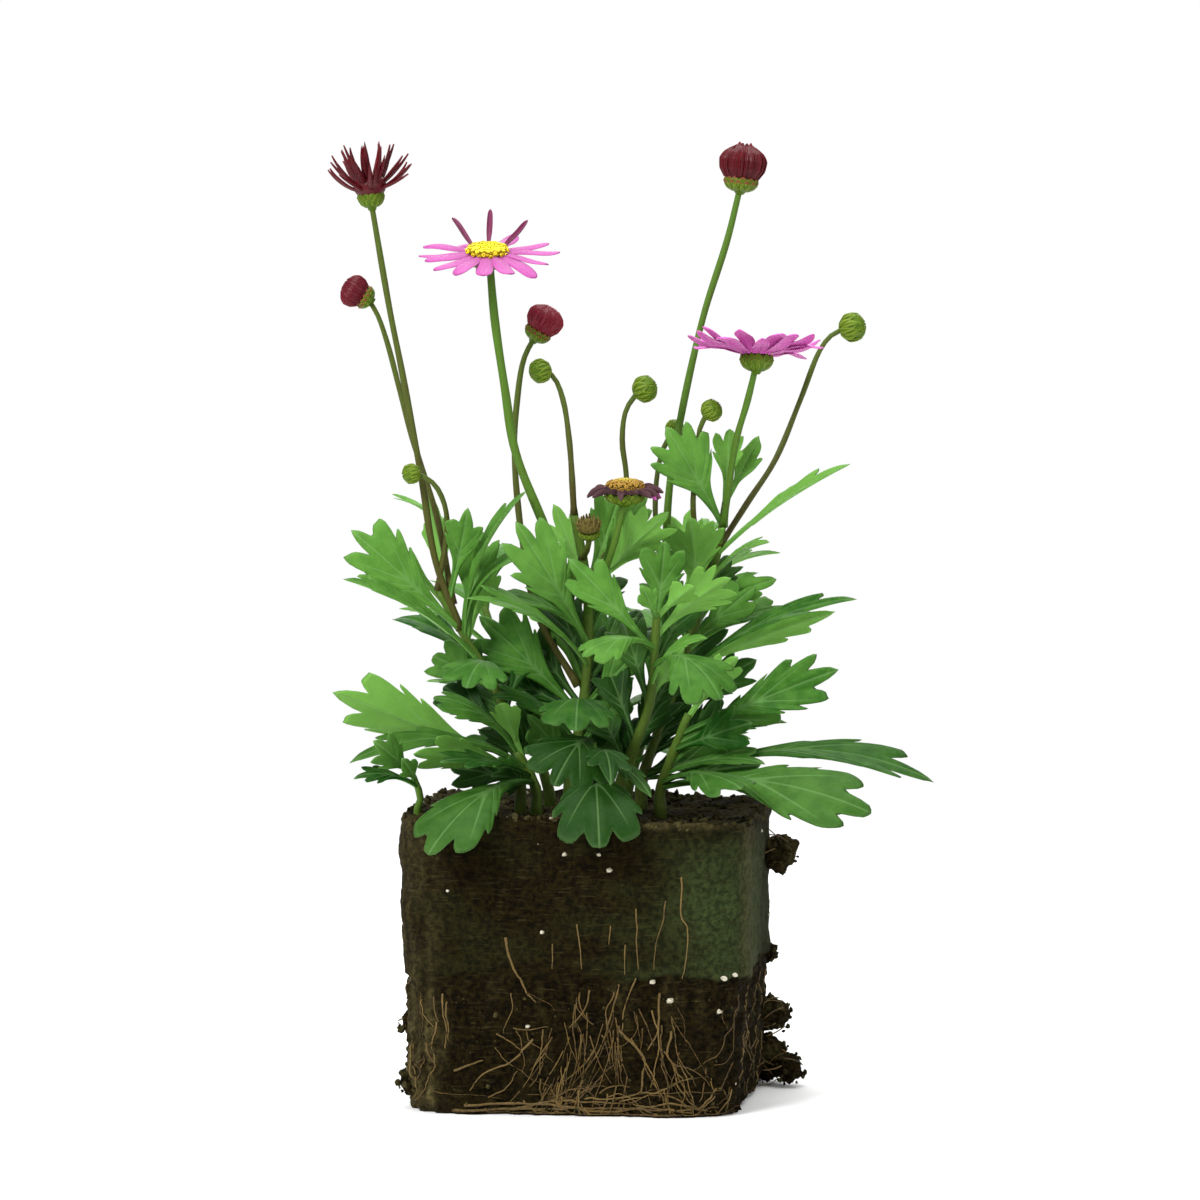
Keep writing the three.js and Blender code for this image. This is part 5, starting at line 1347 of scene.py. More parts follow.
@dataclass
class ShootMaker:
    """Builds one shoot: its stalks, its cups and buds, and its leaves."""

    name: str
    number: int
    # Painted shade on all the shoot's leaves
    dark: float = 0.0
    soil_depth: float = 6.0
    step: float = 2.2

    def __post_init__(self) -> None:
        """Lay out the routes of the stalks."""
        self.plan = SHOOTS[self.name]
        self.routes = [np.array([seen(p) for p in stalk.route]) for stalk in self.plan.stalks]
        foot = np.array([[*self.plan.foot, BALL_HEIGHT + 1]])
        self.routes[0] = np.vstack([foot, self.routes[0]])
        paths = [smooth_path(route, 0.5) for route in self.routes]
        lengths = [np.linalg.norm(np.diff(path, axis=0), axis=1).sum() for path in paths]
        self.stem = paths[0]
        self.points = np.vstack([even(path, size / 40) for path, size in zip(paths, lengths)])

    def stalks(self) -> list[Patch]:
        """The stalks, the first one from below the soil."""
        patches = []
        for i, (stalk, route) in enumerate(zip(self.plan.stalks, self.routes)):
            path = smooth_path(route, self.step)
            if i == 0:
                path = np.vstack([path[0] - np.array([0, 0, self.soil_depth]), path])
            share = np.linspace(0, 1, len(path))
            radius = stalk.start + (stalk.end - stalk.start) * share
            uneven = 1 + 0.06 * np.sin(share * 23 + i)
            radius = STALK_SLIM * radius * uneven + 0.25 * np.exp(-share * 25)
            brown, wine = stalk.tone.value
            low = np.clip(1.15 - share * 1.1, 0, 1)
            if i == 0:
                brown, wine = 0.4 * brown, 0.35 * wine
            values = {"brown": brown * (0.5 + 0.5 * low), "wine": wine * low**1.5}
            patches.append(tube(path, radius, 12, values, 0.05))
        return patches

    def nearest(self, place: Array) -> Array:
        """The point of the stalks that lies nearest to a place."""
        return self.points[np.argmin(np.linalg.norm(self.points - place, axis=1))]

    def entries(self) -> list[tuple[Leaf, Array, Array, int]]:
        """Every leaf with its true base and tip and its seed."""
        seed = self.number * 100
        found = [
            (leaf, self.nearest(seen(leaf.base)), seen(leaf.tip), seed + i * 7)
            for i, leaf in enumerate(self.plan.leaves)
        ]
        ring = self.plan.ring
        if ring is None:
            return found
        for i in range(ring.count):
            share = ring.start + (1 - ring.start) * i / (ring.count - 1)
            base = self.stem[int(round(share * (len(self.stem) - 1)))]
            heading = math.radians(ring.towards + ring.spread * (i * 0.618 % 1 - 0.5))
            reach = ring.reach * (1.12 - 0.4 * share) * (0.85 + 0.3 * draw(seed + i))
            rise = ring.rise + 9 * share + 6 * (draw(seed + i + 50) - 0.5)
            tip = base + np.array([reach * math.cos(heading), reach * math.sin(heading), rise])
            width = ring.width * (0.85 + 0.3 * draw(seed + i + 90))
            form = SPOON if i % 3 == 1 else FAN
            leaf = Leaf(form, tuple(base), tuple(tip), width, SKY, 4, 0.12)
            found.append((leaf, base, tip, seed + i * 7))
        return found

    def leaves(self) -> list[Patch]:
        """The leaves, each leaning as its solid does."""
        solid = solid_of(self.name)
        maker = LeafMaker()
        patches = []
        for leaf, base, tip, seed in self.entries():
            ribs = [Midrib.of(base, tip, leaf.face, leaf.arch, lean) for lean in LEANS]
            rib = min(ribs, key=lambda r: self.distance(r, solid))
            # Painted shade on the low leaves, under the others
            low = 0.45 * float(ease(PLAIN_HEIGHT, SHADED_HEIGHT, tip[2]))
            patches.append(maker.blade(leaf, rib, seed, min(self.dark + low, 0.85)))
        coarse = LeafMaker(5, 26, reaches=(0, 0.1, 0.32, 0.58, 0.8, 0.94, 1))
        for k, (base, tip, width) in enumerate(INNER_LEAVES.get(self.name, ())):
            leaf = Leaf(FAN, base, tip, width, FRONT, 2, 0.2)
            rib = Midrib.of(self.nearest(seen(base)), seen(tip), FRONT, leaf.arch, 0)
            seed = self.number * 100 + 50 + k
            # The inner leaves take painted shade
            patches.append(coarse.blade(leaf, rib, seed, 0.45 + 0.4 * draw(k + 3)))
        return patches

    def distance(self, rib: Midrib, solid: BVHTree) -> float:
        """How far a midrib lies from the skin of the shoot's solid."""
        points, _, _ = rib.frame(np.array([0.45, 0.6, 0.75, 0.9, 1.0]))
        return sum(solid.find_nearest(Vector(point * MM))[3] for point in points)

    def cups(self) -> list[Patch]:
        """The cups under the flower heads and the green buds on this shoot."""
        patches = []
        for k, (name, head) in enumerate(HEADS.items()):
            if head.on == self.name:
                flush = 0.9 if name in ("middle_bud", "tall_bud", "left_bud") else 0.15
                size = (CUP_SLIM * head.radius, CUP_SHALLOW * head.depth)
                patches += BractCup(seen(head.at), unit(head.axis), *size, flush, k).build()
        for k, (shoot, centre, axis, radius) in enumerate(GREEN_BUDS):
            if shoot == self.name:
                patches += GreenBud(seen(centre), unit(axis), radius, k).build()
        return patches

    def build(self, leaf: Material, stalk: Material, bract: Material) -> None:
        """Place the shoot's pieces in the frame."""
        for kind, patches, material in (
            ("blades", self.leaves(), leaf),
            ("stalks", self.stalks(), stalk),
            ("cups", self.cups(), bract),
        ):
            if patches:
                name = f"{self.name}_{kind}"
                place_piece(name, patches, material, "leaf_and_stem", (self.name,))


# Petals, bracts and florets


@dataclass(frozen=True)
class Strap:
    """A petal or bract: a strip whose middle line lies in a plane through the head's axis."""

    spine: Array
    half: Array
    thick: float = 0.4
    hollow: float = 0.0
    twist: float = 0.0
    columns: int = 9
    tint: float = 0.0
    dark: float = 0.0
    flush: float = 0.0

    def build(self, at: Array, axis: Array, turn: float) -> Patch:
        """Build it.

        Args:
            at: The middle of the head.
            axis: The head's way.
            turn: Where round the head it sits.

        Returns:
            The closed strip.
        """
        u, w = square_to(axis)
        out = u * math.cos(turn) + w * math.sin(turn)
        across = np.cross(axis, out)
        line = at + self.spine[:, :1] * out + self.spine[:, 1:2] * axis
        way = unit(np.gradient(line, axis=0))
        lift = np.cross(across, way) * -1
        share = np.linspace(0, 1, len(line))
        roll = (self.twist * share)[:, None]
        side = across * np.cos(roll) + lift * np.sin(roll)
        lift = lift * np.cos(roll) - across * np.sin(roll)
        s = np.sin(np.linspace(-1, 1, self.columns) * math.pi / 2)
        bow = self.hollow * (s**2 - 0.4)[None] * self.half[:, None]
        body = self.thick / 2 * np.sqrt(1 - s**4)[None] * np.ones((len(line), 1))
        middle = line[:, None] + side[:, None] * (s[None] * self.half[:, None])[..., None]
        top = middle + lift[:, None] * (bow + body)[..., None]
        low = middle + lift[:, None] * (bow - body)[..., None]
        rings = np.concatenate([top, low[:, -2:0:-1]], 1)
        flat = np.ones((len(line), 1))
        edge = np.abs(s) > 0.999
        above = np.where(edge, 0.5, 0.0)[None] * flat
        below = np.ones((len(line), self.columns - 2))
        values = {
            "across": np.concatenate([s[None] * flat, s[-2:0:-1][None] * flat], 1),
            "along": share[:, None],
            "under": np.concatenate([above, below], 1),
            "tint": same(self.tint),
            "dark": same(self.dark),
            "flush": same(self.flush),
        }
        return ringed(rings, values)


def sloping(
    start: float, lift: float, length: float, slope: float, curl: float, rows: int = 16
) -> Array:
    """The middle line of a petal that leaves its head at a slope and curls on its way."""
    share = np.linspace(0, 1, rows)
    angle = slope + curl * (share + 0.2)
    step = length / (rows - 1)
    out = start + np.r_[0, np.cumsum(np.cos(angle[1:]) * step)]
    up = lift + np.r_[0, np.cumsum(np.sin(angle[1:]) * step)]
    return np.stack([out, up], 1)


def widths(outline: Pairs, rows: int = 16) -> Array:
    """Widths along a strip, from (share, width) pairs."""
    table = np.array(outline)
    line = smooth_path(table, 0.02)
    return np.interp(np.linspace(0, 1, rows), line[:, 0], line[:, 1])


# The forms of an open and a closed floret, as (height, radius) pairs
STAR_PROFILE = ((0, 0.6), (0.55, 0.75), (0.85, 1.15), (1.0, 1.45), (0.9, 0.6), (0.6, 0.25))
KNOB_PROFILE = ((0, 0.6), (0.4, 0.95), (0.75, 1.0), (0.95, 0.7), (1.05, 0.25), (1.06, 0.1))

# Widths along petals and bracts, as (share, width) pairs
RAY_OUTLINE = ((0, 0.4), (0.15, 0.62), (0.4, 0.94), (0.62, 1), (0.82, 0.9), (0.94, 0.6), (1, 0.14))
QUILL_OUTLINE = ((0, 0.8), (0.3, 1), (0.6, 0.85), (0.85, 0.45), (1, 0.08))
BUD_OUTLINE = ((0, 0.8), (0.3, 1), (0.6, 1), (0.82, 0.7), (1, 0.1))
BRACT_OUTLINE = ((0, 0.6), (0.3, 1), (0.6, 0.9), (0.85, 0.5), (1, 0.1))


@dataclass
class BractCup:
    """The green cup under a head: a smooth bowl with whorls of overlapping bracts."""

    at: Array
    axis: Array
    radius: float
    depth: float
    flush: float
    seed: int
    count: int = 13

    def build(self) -> list[Patch]:
        """Build the bowl and its bracts."""
        r, d = self.radius, self.depth
        bowl = np.array([
            [-d * 1.25, 0.9], [-d, r * 0.36], [-d * 0.8, r * 0.66], [-d * 0.5, r * 0.86],
            [-d * 0.2, r * 0.95], [0, r * 0.93],
        ])
        patches = [turned(self.at, self.axis, bowl, 28, {"across": same(0.2)})]
        for whorl, (low, high, out) in enumerate(((-0.75, 0.14, 0.02), (-0.98, -0.2, 0.16))):
            rows = np.linspace(low, high, 12)
            reach = np.interp(rows, bowl[:, 0] / d, bowl[:, 1]) + out
            reach[-3:] += 0.05 * np.arange(3) * (1 if whorl else 0.4)
            spine = np.stack([reach, rows * d], 1)
            half = widths(BRACT_OUTLINE, 12) * math.pi * r / self.count * 1.25
            for i in range(self.count):
                place = i + 0.5 * whorl + 0.3 * (draw(self.seed * 40 + i) - 0.5)
                turn = place * math.tau / self.count
                strap = Strap(spine, half, 0.32, -0.1, flush=self.flush, columns=5)
                patches.append(strap.build(self.at, self.axis, turn))
        return patches


@dataclass
class GreenBud:
    """A closed green bud: an egg of bracts whose tips meet."""

    at: Array
    axis: Array
    radius: float
    seed: int
    count: int = 8

    def build(self) -> list[Patch]:
        """Build the egg and its bracts."""
        r = self.radius
        egg = np.array([
            [-1.1, 0.3], [-0.9, 0.5], [-0.5, 0.88], [0, 0.98], [0.4, 0.9], [0.68, 0.66],
            [0.82, 0.2],
        ]) * r
        patches = [turned(self.at, self.axis, egg * (1, 0.93), 24, {"across": same(0.9)})]
        for whorl, (low, high) in enumerate(((-0.8, 0.86), (-1.0, 0.5))):
            rows = np.linspace(low, high, 14)
            reach = np.interp(rows * r, egg[:, 0], egg[:, 1]) - 0.06 + 0.1 * whorl
            reach[-4:] += 0.07 * np.arange(4)
            spine = np.stack([reach, rows * r], 1)
            half = widths(BRACT_OUTLINE, 14) * math.pi * r / self.count * 1.3
            for i in range(self.count):
                place = i + 0.5 * whorl + 0.25 * draw(self.seed * 30 + i)
                turn = place * math.tau / self.count
                strap = Strap(spine, half, 0.36, -0.16, columns=7)
                patches.append(strap.build(self.at, self.axis, turn))
        return patches


@dataclass
class FlowerHead:
    """A head in the frame: its place, way and cup radius."""

    name: str

    def __post_init__(self) -> None:
        """Take the head's place from the list."""
        head = HEADS[self.name]
        self.at = seen(head.at)
        self.axis = unit(head.axis)
        self.radius = head.radius

    def straps(self, turns: Array, made: list[Strap]) -> list[Patch]:
        """Place straps round the head."""
        return [strap.build(self.at, self.axis, float(turn)) for turn, strap in zip(turns, made)]

    def turned(self, profile: Array, sides: int = 40, values: Values | None = None) -> Patch:
        """A round form on the head's axis."""
        return turned(self.at, self.axis, profile, sides, values)

    def collar(self, low: float, high: float, sides: int) -> Patch:
        """The ring that the petals stand on, in painted shade, from shares of the cup's radius."""
        r = self.radius
        profile = np.array([[CUP_GAP, r * low], [0.8, r * high], [1.2, r * low]])
        return self.turned(profile, sides, {"dark": same(0.6)})


@dataclass
class OpenBloom(FlowerHead):
    """An open flower: ray petals round a disc of florets."""

    seed: int
    back_rise: float
    dome: float
    rise: float = 0.1
    droop: float = 0.0
    wave: float = 0.35
    count: int = 16
    spread: float = 1.0
    florets: int = 120

    def rays(self) -> list[Patch]:
        """The ray petals. At the back every second one stands half rolled."""
        turns, made = [], []
        r, rows = self.radius, 22
        share = np.linspace(0, 1, rows)
        for i in range(self.count):
            rand = draws(self.seed + i)
            turn = (i + 0.35 * (rand(0) - 0.5)) / self.count * math.tau
            back = math.sin(turn)
            rolled = self.back_rise > 0 and back > 0.25 and i % 2 == 0
            stands = self.back_rise if rolled else 0.0
            length = OPEN_PETAL_LENGTH * (0.92 + 0.16 * rand(30)) * (0.85 if rolled else 1)
            front = max(0.0, -back)
            slope = self.rise + stands - self.droop * front + 0.2 * (rand(60) - 0.5)
            curl = -0.1 - self.droop * front + 0.3 * (rand(80) - 0.5)
            start = r * (1.0 if rolled else 0.86)
            spine = sloping(start, CUP_GAP + 0.5, length, slope, curl, rows)
            spine[:, 1] += self.wave * np.sin(share * 6 + 6 * rand(9)) * share
            wide = (0.65 * ROLLED_WIDTH if rolled else 1.08 * OPEN_PETAL_WIDTH) / 2
            turns.append(turn)
            made.append(Strap(
                spine, widths(RAY_OUTLINE, rows) * wide * 1.02, 0.34, 1.1 if rolled else -0.22,
                0.5 * (rand(44) - 0.5), 11, draw(self.seed + i * 3), 0.9 if rolled else 0.0,
            ))
        return self.straps(np.array(turns), made) + [self.collar(0.9, 0.96, 40)]

    def disc(self) -> list[Patch]:
        """The dome and its florets."""
        r, top = self.radius, self.dome
        low = CUP_GAP * 2 + 0.9
        profile = np.array([
            [low - 0.3, r * 0.8], [low + top * 0.25, r * 0.83], [low + top * 0.5, r * 0.76],
            [low + top * 0.75, r * 0.58], [low + top * 0.92, r * 0.3], [low + top * 0.97, r * 0.05],
        ]) * (1, self.spread)
        # Painted shade on the dome between the florets
        patches = [self.turned(profile - (0.25, 0.1), 36, {"pit": same(0.8)})]
        line = smooth_path(profile[::-1], 0.05)
        for i in range(self.florets):
            share = ((i + 0.5) / self.florets) ** 0.62
            spot = int(share * (len(line) - 1))
            up, out = line[spot]
            slope = line[min(spot + 3, len(line) - 1)] - line[max(spot - 3, 0)]
            lean = math.atan2(-slope[0], slope[1])
            patches.append(self.floret(i * GOLDEN_TURN, out, up, lean, share, i))
        return patches

    def floret(
        self, turn: float, out: float, up: float, lean: float, share: float, i: int
    ) -> Patch:
        """One floret: a bud near the middle, an open star near the rim."""
        u, w = square_to(self.axis)
        outward = u * math.cos(turn) + w * math.sin(turn)
        axis = unit(self.axis * math.cos(lean) + outward * math.sin(lean))
        base = self.at + outward * out + self.axis * up
        size = (0.27 + 0.13 * share) * (0.9 + 0.2 * draw(i + 7))
        tall = 0.5 + 0.3 * draw(i * 3 + 1)
        opened = share > 0.45 + 0.2 * draw(i + 90)
        profile = np.array(STAR_PROFILE if opened else KNOB_PROFILE) * (tall, size)
        # Painted shade at the floret's foot and in its open middle
        return turned(base, axis, profile, 10, {
            "along": same(share * 0.8 + 0.1),
            "pit": np.array([0.5, 0.2, 0, 0, 0.5, 1.0])[:, None] * (1.0 if opened else 0.2),
        })


@dataclass
class HalfOpenBloom(FlowerHead):
    """A brush of narrow pointed petals."""

    seed: int = 5
    count: int = 42

    def petals(self) -> list[Patch]:
        """The petals and the heart that they stand on, in painted shade."""
        turns, made = [], []
        for i in range(self.count):
            layer = i % 3
            rand = draws(self.seed + i)
            start, lift = 2.4 + 0.4 * layer, 1.0 + 1.0 * (2 - layer)
            slope = 0.28 + 0.32 * (2 - layer) + 0.24 * (rand(40) - 0.5)
            spine = sloping(start, lift, 8.2 + 2.2 * rand(0), slope, 0.1 + 0.6 * rand(50))
            half = widths(QUILL_OUTLINE) * (0.6 + 0.2 * rand(60))
            twist = 0.6 * (rand(70) - 0.5)
            turns.append(i * GOLDEN_TURN)
            made.append(Strap(spine, half, 0.36, 0.9, twist, 7, rand(80), 0.3 * rand(90)))
        profile = np.array([
            [-0.5, 2.7], [CUP_GAP, 3.5], [1.4, 4.0], [2.8, 4.0], [4.2, 2.8], [4.9, 1.0]
        ])
        # Painted shade on the heart
        heart = self.turned(profile, 24, {"dark": same(0.7)})
        return self.straps(np.array(turns), made) + [heart]


@dataclass
class ClosedBud(FlowerHead):
    """A bud whose petals stand side by side and close over the top."""

    spikes: float = 0.5
    count: int = 13

    def petals(self) -> list[Patch]:
        """Two layers of petals round a core in painted shade."""
        r, rows = self.radius, 18
        barrel = np.array([
            [CUP_GAP, 0.84 * r], [0.5 * r, 1.1 * r], [1.0 * r, 1.16 * r], [1.35 * r, 0.98 * r],
            [1.62 * r, 0.6 * r], [1.78 * r, 0.34 * r],
        ])
        turns, made = [], []
        for layer in (0, 1):
            for i in range(self.count):
                def rand(k: int) -> float:
                    """One number of this petal."""
                    return draw(i * 7 + layer * 50 + k + r * 10)

                high = (1.66 - 0.1 * layer) * r + self.spikes * r * 0.3 * rand(1)
                up = np.linspace(CUP_GAP, high, rows)
                out = np.interp(up, barrel[:, 0], barrel[:, 1]) * (1 - 0.05 * layer)
                flare = np.linspace(0, self.spikes * (rand(3) - 0.2), 5)
                out += 0.12 * rand(2) + np.r_[np.zeros(rows - 5), flare]
                half = widths(BUD_OUTLINE, rows) * math.pi * 1.2 * r / self.count * 1.12
                turns.append((i + 0.5 * layer + 0.2 * (rand(4) - 0.5)) * math.tau / self.count)
                spine = np.stack([out, up], 1)
                made.append(Strap(spine, half, 0.34, -0.45, 0.0, 9, rand(5), 0.25 * rand(6)))
        # Painted shade on the core
        core = self.turned(barrel * (1, 0.9), 30, {"dark": same(0.9)})
        return self.straps(np.array(turns), made) + [core]


@dataclass
class FadedBloom(OpenBloom):
    """A faded flower: dead petals round a dome."""

    count: int = 15

    def petals(self) -> list[Patch]:
        """The shrivelled petals."""
        turns, made = [], []
        start, lift = self.radius * 0.93, CUP_GAP + 0.6
        for i in range(self.count):
            rand = draws(self.seed + i)
            slope = 0.1 + 0.5 * (rand(20) - 0.5)
            curl = -0.5 + 0.8 * (rand(5) - 0.5)
            spine = sloping(start, lift, 3.2 + 1.9 * rand(0), slope, curl, 14)
            half = widths(QUILL_OUTLINE, 14) * (0.75 + 0.35 * rand(7))
            twist, dark = 1.6 * (rand(9) - 0.5), 0.2 + 0.5 * rand(12)
            turns.append((i + 0.4 * (rand(2) - 0.5)) * math.tau / self.count)
            made.append(Strap(spine, half, 0.4, 1.4, twist, 7, rand(11), dark))
        return self.straps(np.array(turns), made) + [self.collar(0.92, 0.98, 36)]

    def remnant(self) -> list[Patch]:
        """The petals at the right that still keep their colour."""
        spine = sloping(self.radius * 0.9, CUP_GAP + 0.9, 4.6, -0.15, -0.5, 14)
        half = widths(QUILL_OUTLINE, 14) * 1.15
        turns = np.array([-0.55, -0.15, 0.3])
        made = [
            Strap(spine * (1, 1 - 0.1 * k), half, 0.4, 0.8, 0.7 - 0.5 * k, 7, 0.3 * k)
            for k in range(len(turns))
        ]
        return self.straps(turns, made)


@dataclass
class SpentHead(FlowerHead):
    """A small spent head: a knob of dry scales."""

    count: int = 46

    def scales(self) -> list[Patch]:
        """The knob and the scales that stand out of it."""
        r = self.radius
        knob = np.array([
            [CUP_GAP, 0.78], [0.35 * r, 1.05], [0.85 * r, 0.95], [1.1 * r, 0.5], [1.2 * r, 0.2]
        ]) * (1, r)
        half = widths(QUILL_OUTLINE, 8) * 0.32
        turns, made = [], []
        for i in range(self.count):
            share = (i + 0.5) / self.count
            up = CUP_GAP + 1.0 * r * share
            out = float(np.interp(up, knob[:, 0], knob[:, 1])) * 0.92
            spine = sloping(out, up, 1.0 + 0.7 * draw(i), 0.5 + 0.9 * share, 0.4, 8)
            turns.append(i * GOLDEN_TURN)
            tint, dark = draw(i + 4), 0.5 * draw(i + 9)
            made.append(Strap(spine, half, 0.22, 0.2, 0.0, 5, tint, dark))
        return [self.turned(knob, 26)] + self.straps(np.array(turns), made)


# Root ball


@dataclass
class RootBall:
    """The bare root ball: peat, clods, crumbs, roots and perlite."""

    around: int = 360
    levels: int = 124
    soil_rings: int = 40
    foot_rings: int = 10
    soil_crumbs: int = 560
    rim_crumbs: int = 420
    side_crumbs: int = 700
    clod_crumbs: int = 30
    front_threads: int = 40
    other_threads: int = 170
    side_perlite: int = 16
    soil_perlite: int = 14
    seed: int = 3

    def __post_init__(self) -> None:
        """Start the numbers that scatter the crumbs and roots, and take the solid."""
        self.dice = np.random.default_rng(self.seed)
        self.solid = solid_of("root_ball")

    def square(self, angle: Array, side: Array) -> Array:
        """Distance from the middle to the side of a rounded square."""
        straight = side / 2 - BALL_CORNER
        c, s = np.abs(np.cos(angle)), np.abs(np.sin(angle))
        flat = side / 2 / np.maximum(c, s)
        dot = straight * (c + s)
        root = np.sqrt(np.maximum(dot * dot - 2 * straight * straight + BALL_CORNER**2, 0))
        return np.where(np.minimum(c, s) * flat <= straight, flat, dot + root)

    def place(self, angle: Array, radius: Array, height: Array) -> Array:
        """Points from an angle in the turned ball, a radius and a height."""
        heading = angle + BALL_TURN
        x, y = radius * np.cos(heading), radius * np.sin(heading)
        return np.stack(np.broadcast_arrays(x, y, height), -1)

    def rim(self, angle: Array) -> Array:
        """Height of the top edge."""
        right = np.maximum(0, np.cos(angle + BALL_TURN))
        uneven = 0.5 * np.sin(9 * angle) * np.sin(23 * angle + 1)
        return BALL_HEIGHT - RIM_FALL_RIGHT * right + uneven

    def seam(self, angle: Array) -> Array:
        """Height of the wavy ledge."""
        broad = SEAM_HEIGHT - 0.6 + 0.8 * np.sin(6 * angle + 1)
        return broad + 0.5 * np.sin(17 * angle) + 0.25 * np.sin(41 * angle)

    def dip(self, share: Array | float) -> Array:
        """How far the soil lies under the top edge, by share of the way to it."""
        return np.interp(share, [0, 0.45, 0.93, 1.0], [1, 1, 0.5, 0]) * SOIL_DIP

    def skin(self, angle: Array, height: Array) -> Array:
        """1 on the smooth skin above the ledge and 0 on the crumbly peat below it."""
        return ease(-0.55, 0.55, height - self.seam(angle))

    def side(self, angle: Array, height: Array) -> Array:
        """Radius of the side with its relief."""
        share = height / BALL_HEIGHT
        edge = BALL_FOOT_SIDE + (BALL_TOP_SIDE - BALL_FOOT_SIDE) * share
        skin = self.skin(angle, height)
        broad = np.sin(3 * angle + 0.07 * height) + np.sin(5 * angle - 0.11 * height + 2)
        fine = np.sin(17 * angle + 0.5 * height) + np.sin(11 * angle - 0.35 * height + 1)
        lumps = PEAT_RELIEF * (0.55 * broad + 0.45 * fine)
        tuck = FOOT_TUCK * (1 - ease(-1.0, 3.0, height))
        step = SEAM_STEP * (0.45 + 0.55 * ease(0.2, 0.8, np.cos(angle + BALL_TURN)))
        radius = self.square(angle, edge) - step * (1 - skin) - tuck + lumps
        spot = self.place(angle, radius, height).reshape(-1, 3)
        layers = rough(spot * (0.08, 0.08, 0.9), 5).reshape(np.shape(radius))
        dents = rough(spot * 0.14, 9).reshape(np.shape(radius))
        crumbs = rough(spot * 0.42, 14, 5).reshape(np.shape(radius))
        clefts = np.abs(rough(spot * 0.2, 21, 3)).reshape(np.shape(radius))
        smooth = 0.22 * layers + 0.35 * dents + 0.12 * crumbs
        ragged = 1.05 * crumbs + 0.5 * dents + 0.9 * np.minimum(clefts * 3, 1) - 0.75
        corner = ease(0.1, 0.75, (np.abs(np.sin(2 * angle)) - 0.4)) * ease(16, 2, height)
        return radius + smooth * skin + ragged * (1 - skin) + 0.8 * corner * crumbs

    def block(self) -> Patch:
        """The peat block with its soil top and its foot."""
        angle = np.linspace(0, math.tau, self.around, endpoint=False)
        rim = self.rim(angle)
        share = np.linspace(0, 1, self.levels)[:, None]
        height = rim * share
        wide = np.broadcast_to(angle, height.shape)
        radius = self.side(wide, height)
        shoulder = np.maximum(0, height - (rim - 1.6)) ** 2 * 0.28
        sides = self.place(wide, radius - shoulder, height)
        top_edge = (radius - shoulder)[-1]
        inward = np.linspace(1, 0.02, self.soil_rings)[1:, None]
        flat = self.place(angle, top_edge * inward, rim)
        spot = flat.reshape(-1, 3)
        crumbs = rough(spot * 0.4, 31, 5).reshape(flat.shape[:2])
        mounds = rough(spot * 0.11, 37, 2).reshape(flat.shape[:2])
        level = BALL_HEIGHT + (rim - BALL_HEIGHT) * ease(0.3, 0.6, inward)
        flat[..., 2] = level - self.dip(inward) + 0.75 * crumbs + 0.5 * mounds * (1 - inward)
        under = np.linspace(0.04, 1, self.foot_rings)[:-1, None]
        foot = self.place(angle, radius[0] * under, np.array(0.0))
        rings = np.concatenate([foot, sides, flat])
        return ringed(rings, self.marks(rings, angle, len(foot), len(sides)))

    def marks(self, rings: Array, angle: Array, foot: int, sides: int) -> Values:
        """Where the peat is skin, algae, and pale from dry peat and painted light, for each corner.
        """
        x, y, z = (rings[..., k] for k in range(3))
        wide = np.broadcast_to(angle, z.shape)
        row = np.arange(len(rings))[:, None]
        on_side = (row >= foot) & (row < foot + sides)
        skin = np.where(on_side, self.skin(wide, z), 0.0)
        patches = rough(rings.reshape(-1, 3) * (0.06, 0.06, 0.1), 51).reshape(z.shape)
        streaks = rough(rings.reshape(-1, 3) * (0.5, 0.5, 0.07), 57).reshape(z.shape)
        right = ease(4, 36, x + 12 * patches)
        fading = 0.3 + 0.7 * ease(18, -22, y + 14 * patches)
        low = ease(72, 58, z + 5 * patches)
        algae = skin * (0.8 * right * fading * low + 0.12 * ease(-0.1, 0.6, patches))
        # Painted highlight: a pale band down the rounded front right corner
        corner_highlight = np.exp(-(((x - 37.8 - patches) / 1.7) ** 2))
        corner_highlight = corner_highlight * skin * (y < 0) * (0.6 + 0.5 * streaks)
        rim = np.where(on_side, ease(68.6, 70.4, z + 1.6 * patches), 0.0) * ease(-4, 8, x) * 0.5
        # Painted light: the left side and its low corner are paler where the light grazes them
        left = ease(-31, -42, x + 4 * patches) * on_side * 0.4 * ease(-0.8, 0.5, streaks)
        corner = ease(-30, -40, x) * ease(30, 12, z) * on_side * 0.5 * ease(-0.4, 0.5, streaks)
        dry = np.where(row >= foot + sides, 0.25 + 0.3 * patches, 0.0)
        crumbly = 0.18 * (1 - skin) * ease(0, 0.8, streaks)
        # Pale: dry and crumbly peat on the rim, the top and below the ledge, with the painted
        # highlight and painted light above
        pale = np.clip(0.6 * corner_highlight + 0.85 * rim + left + corner + dry + crumbly, 0, 1)
        return {"skin": skin, "algae": np.clip(algae, 0, 1), "pale": pale}

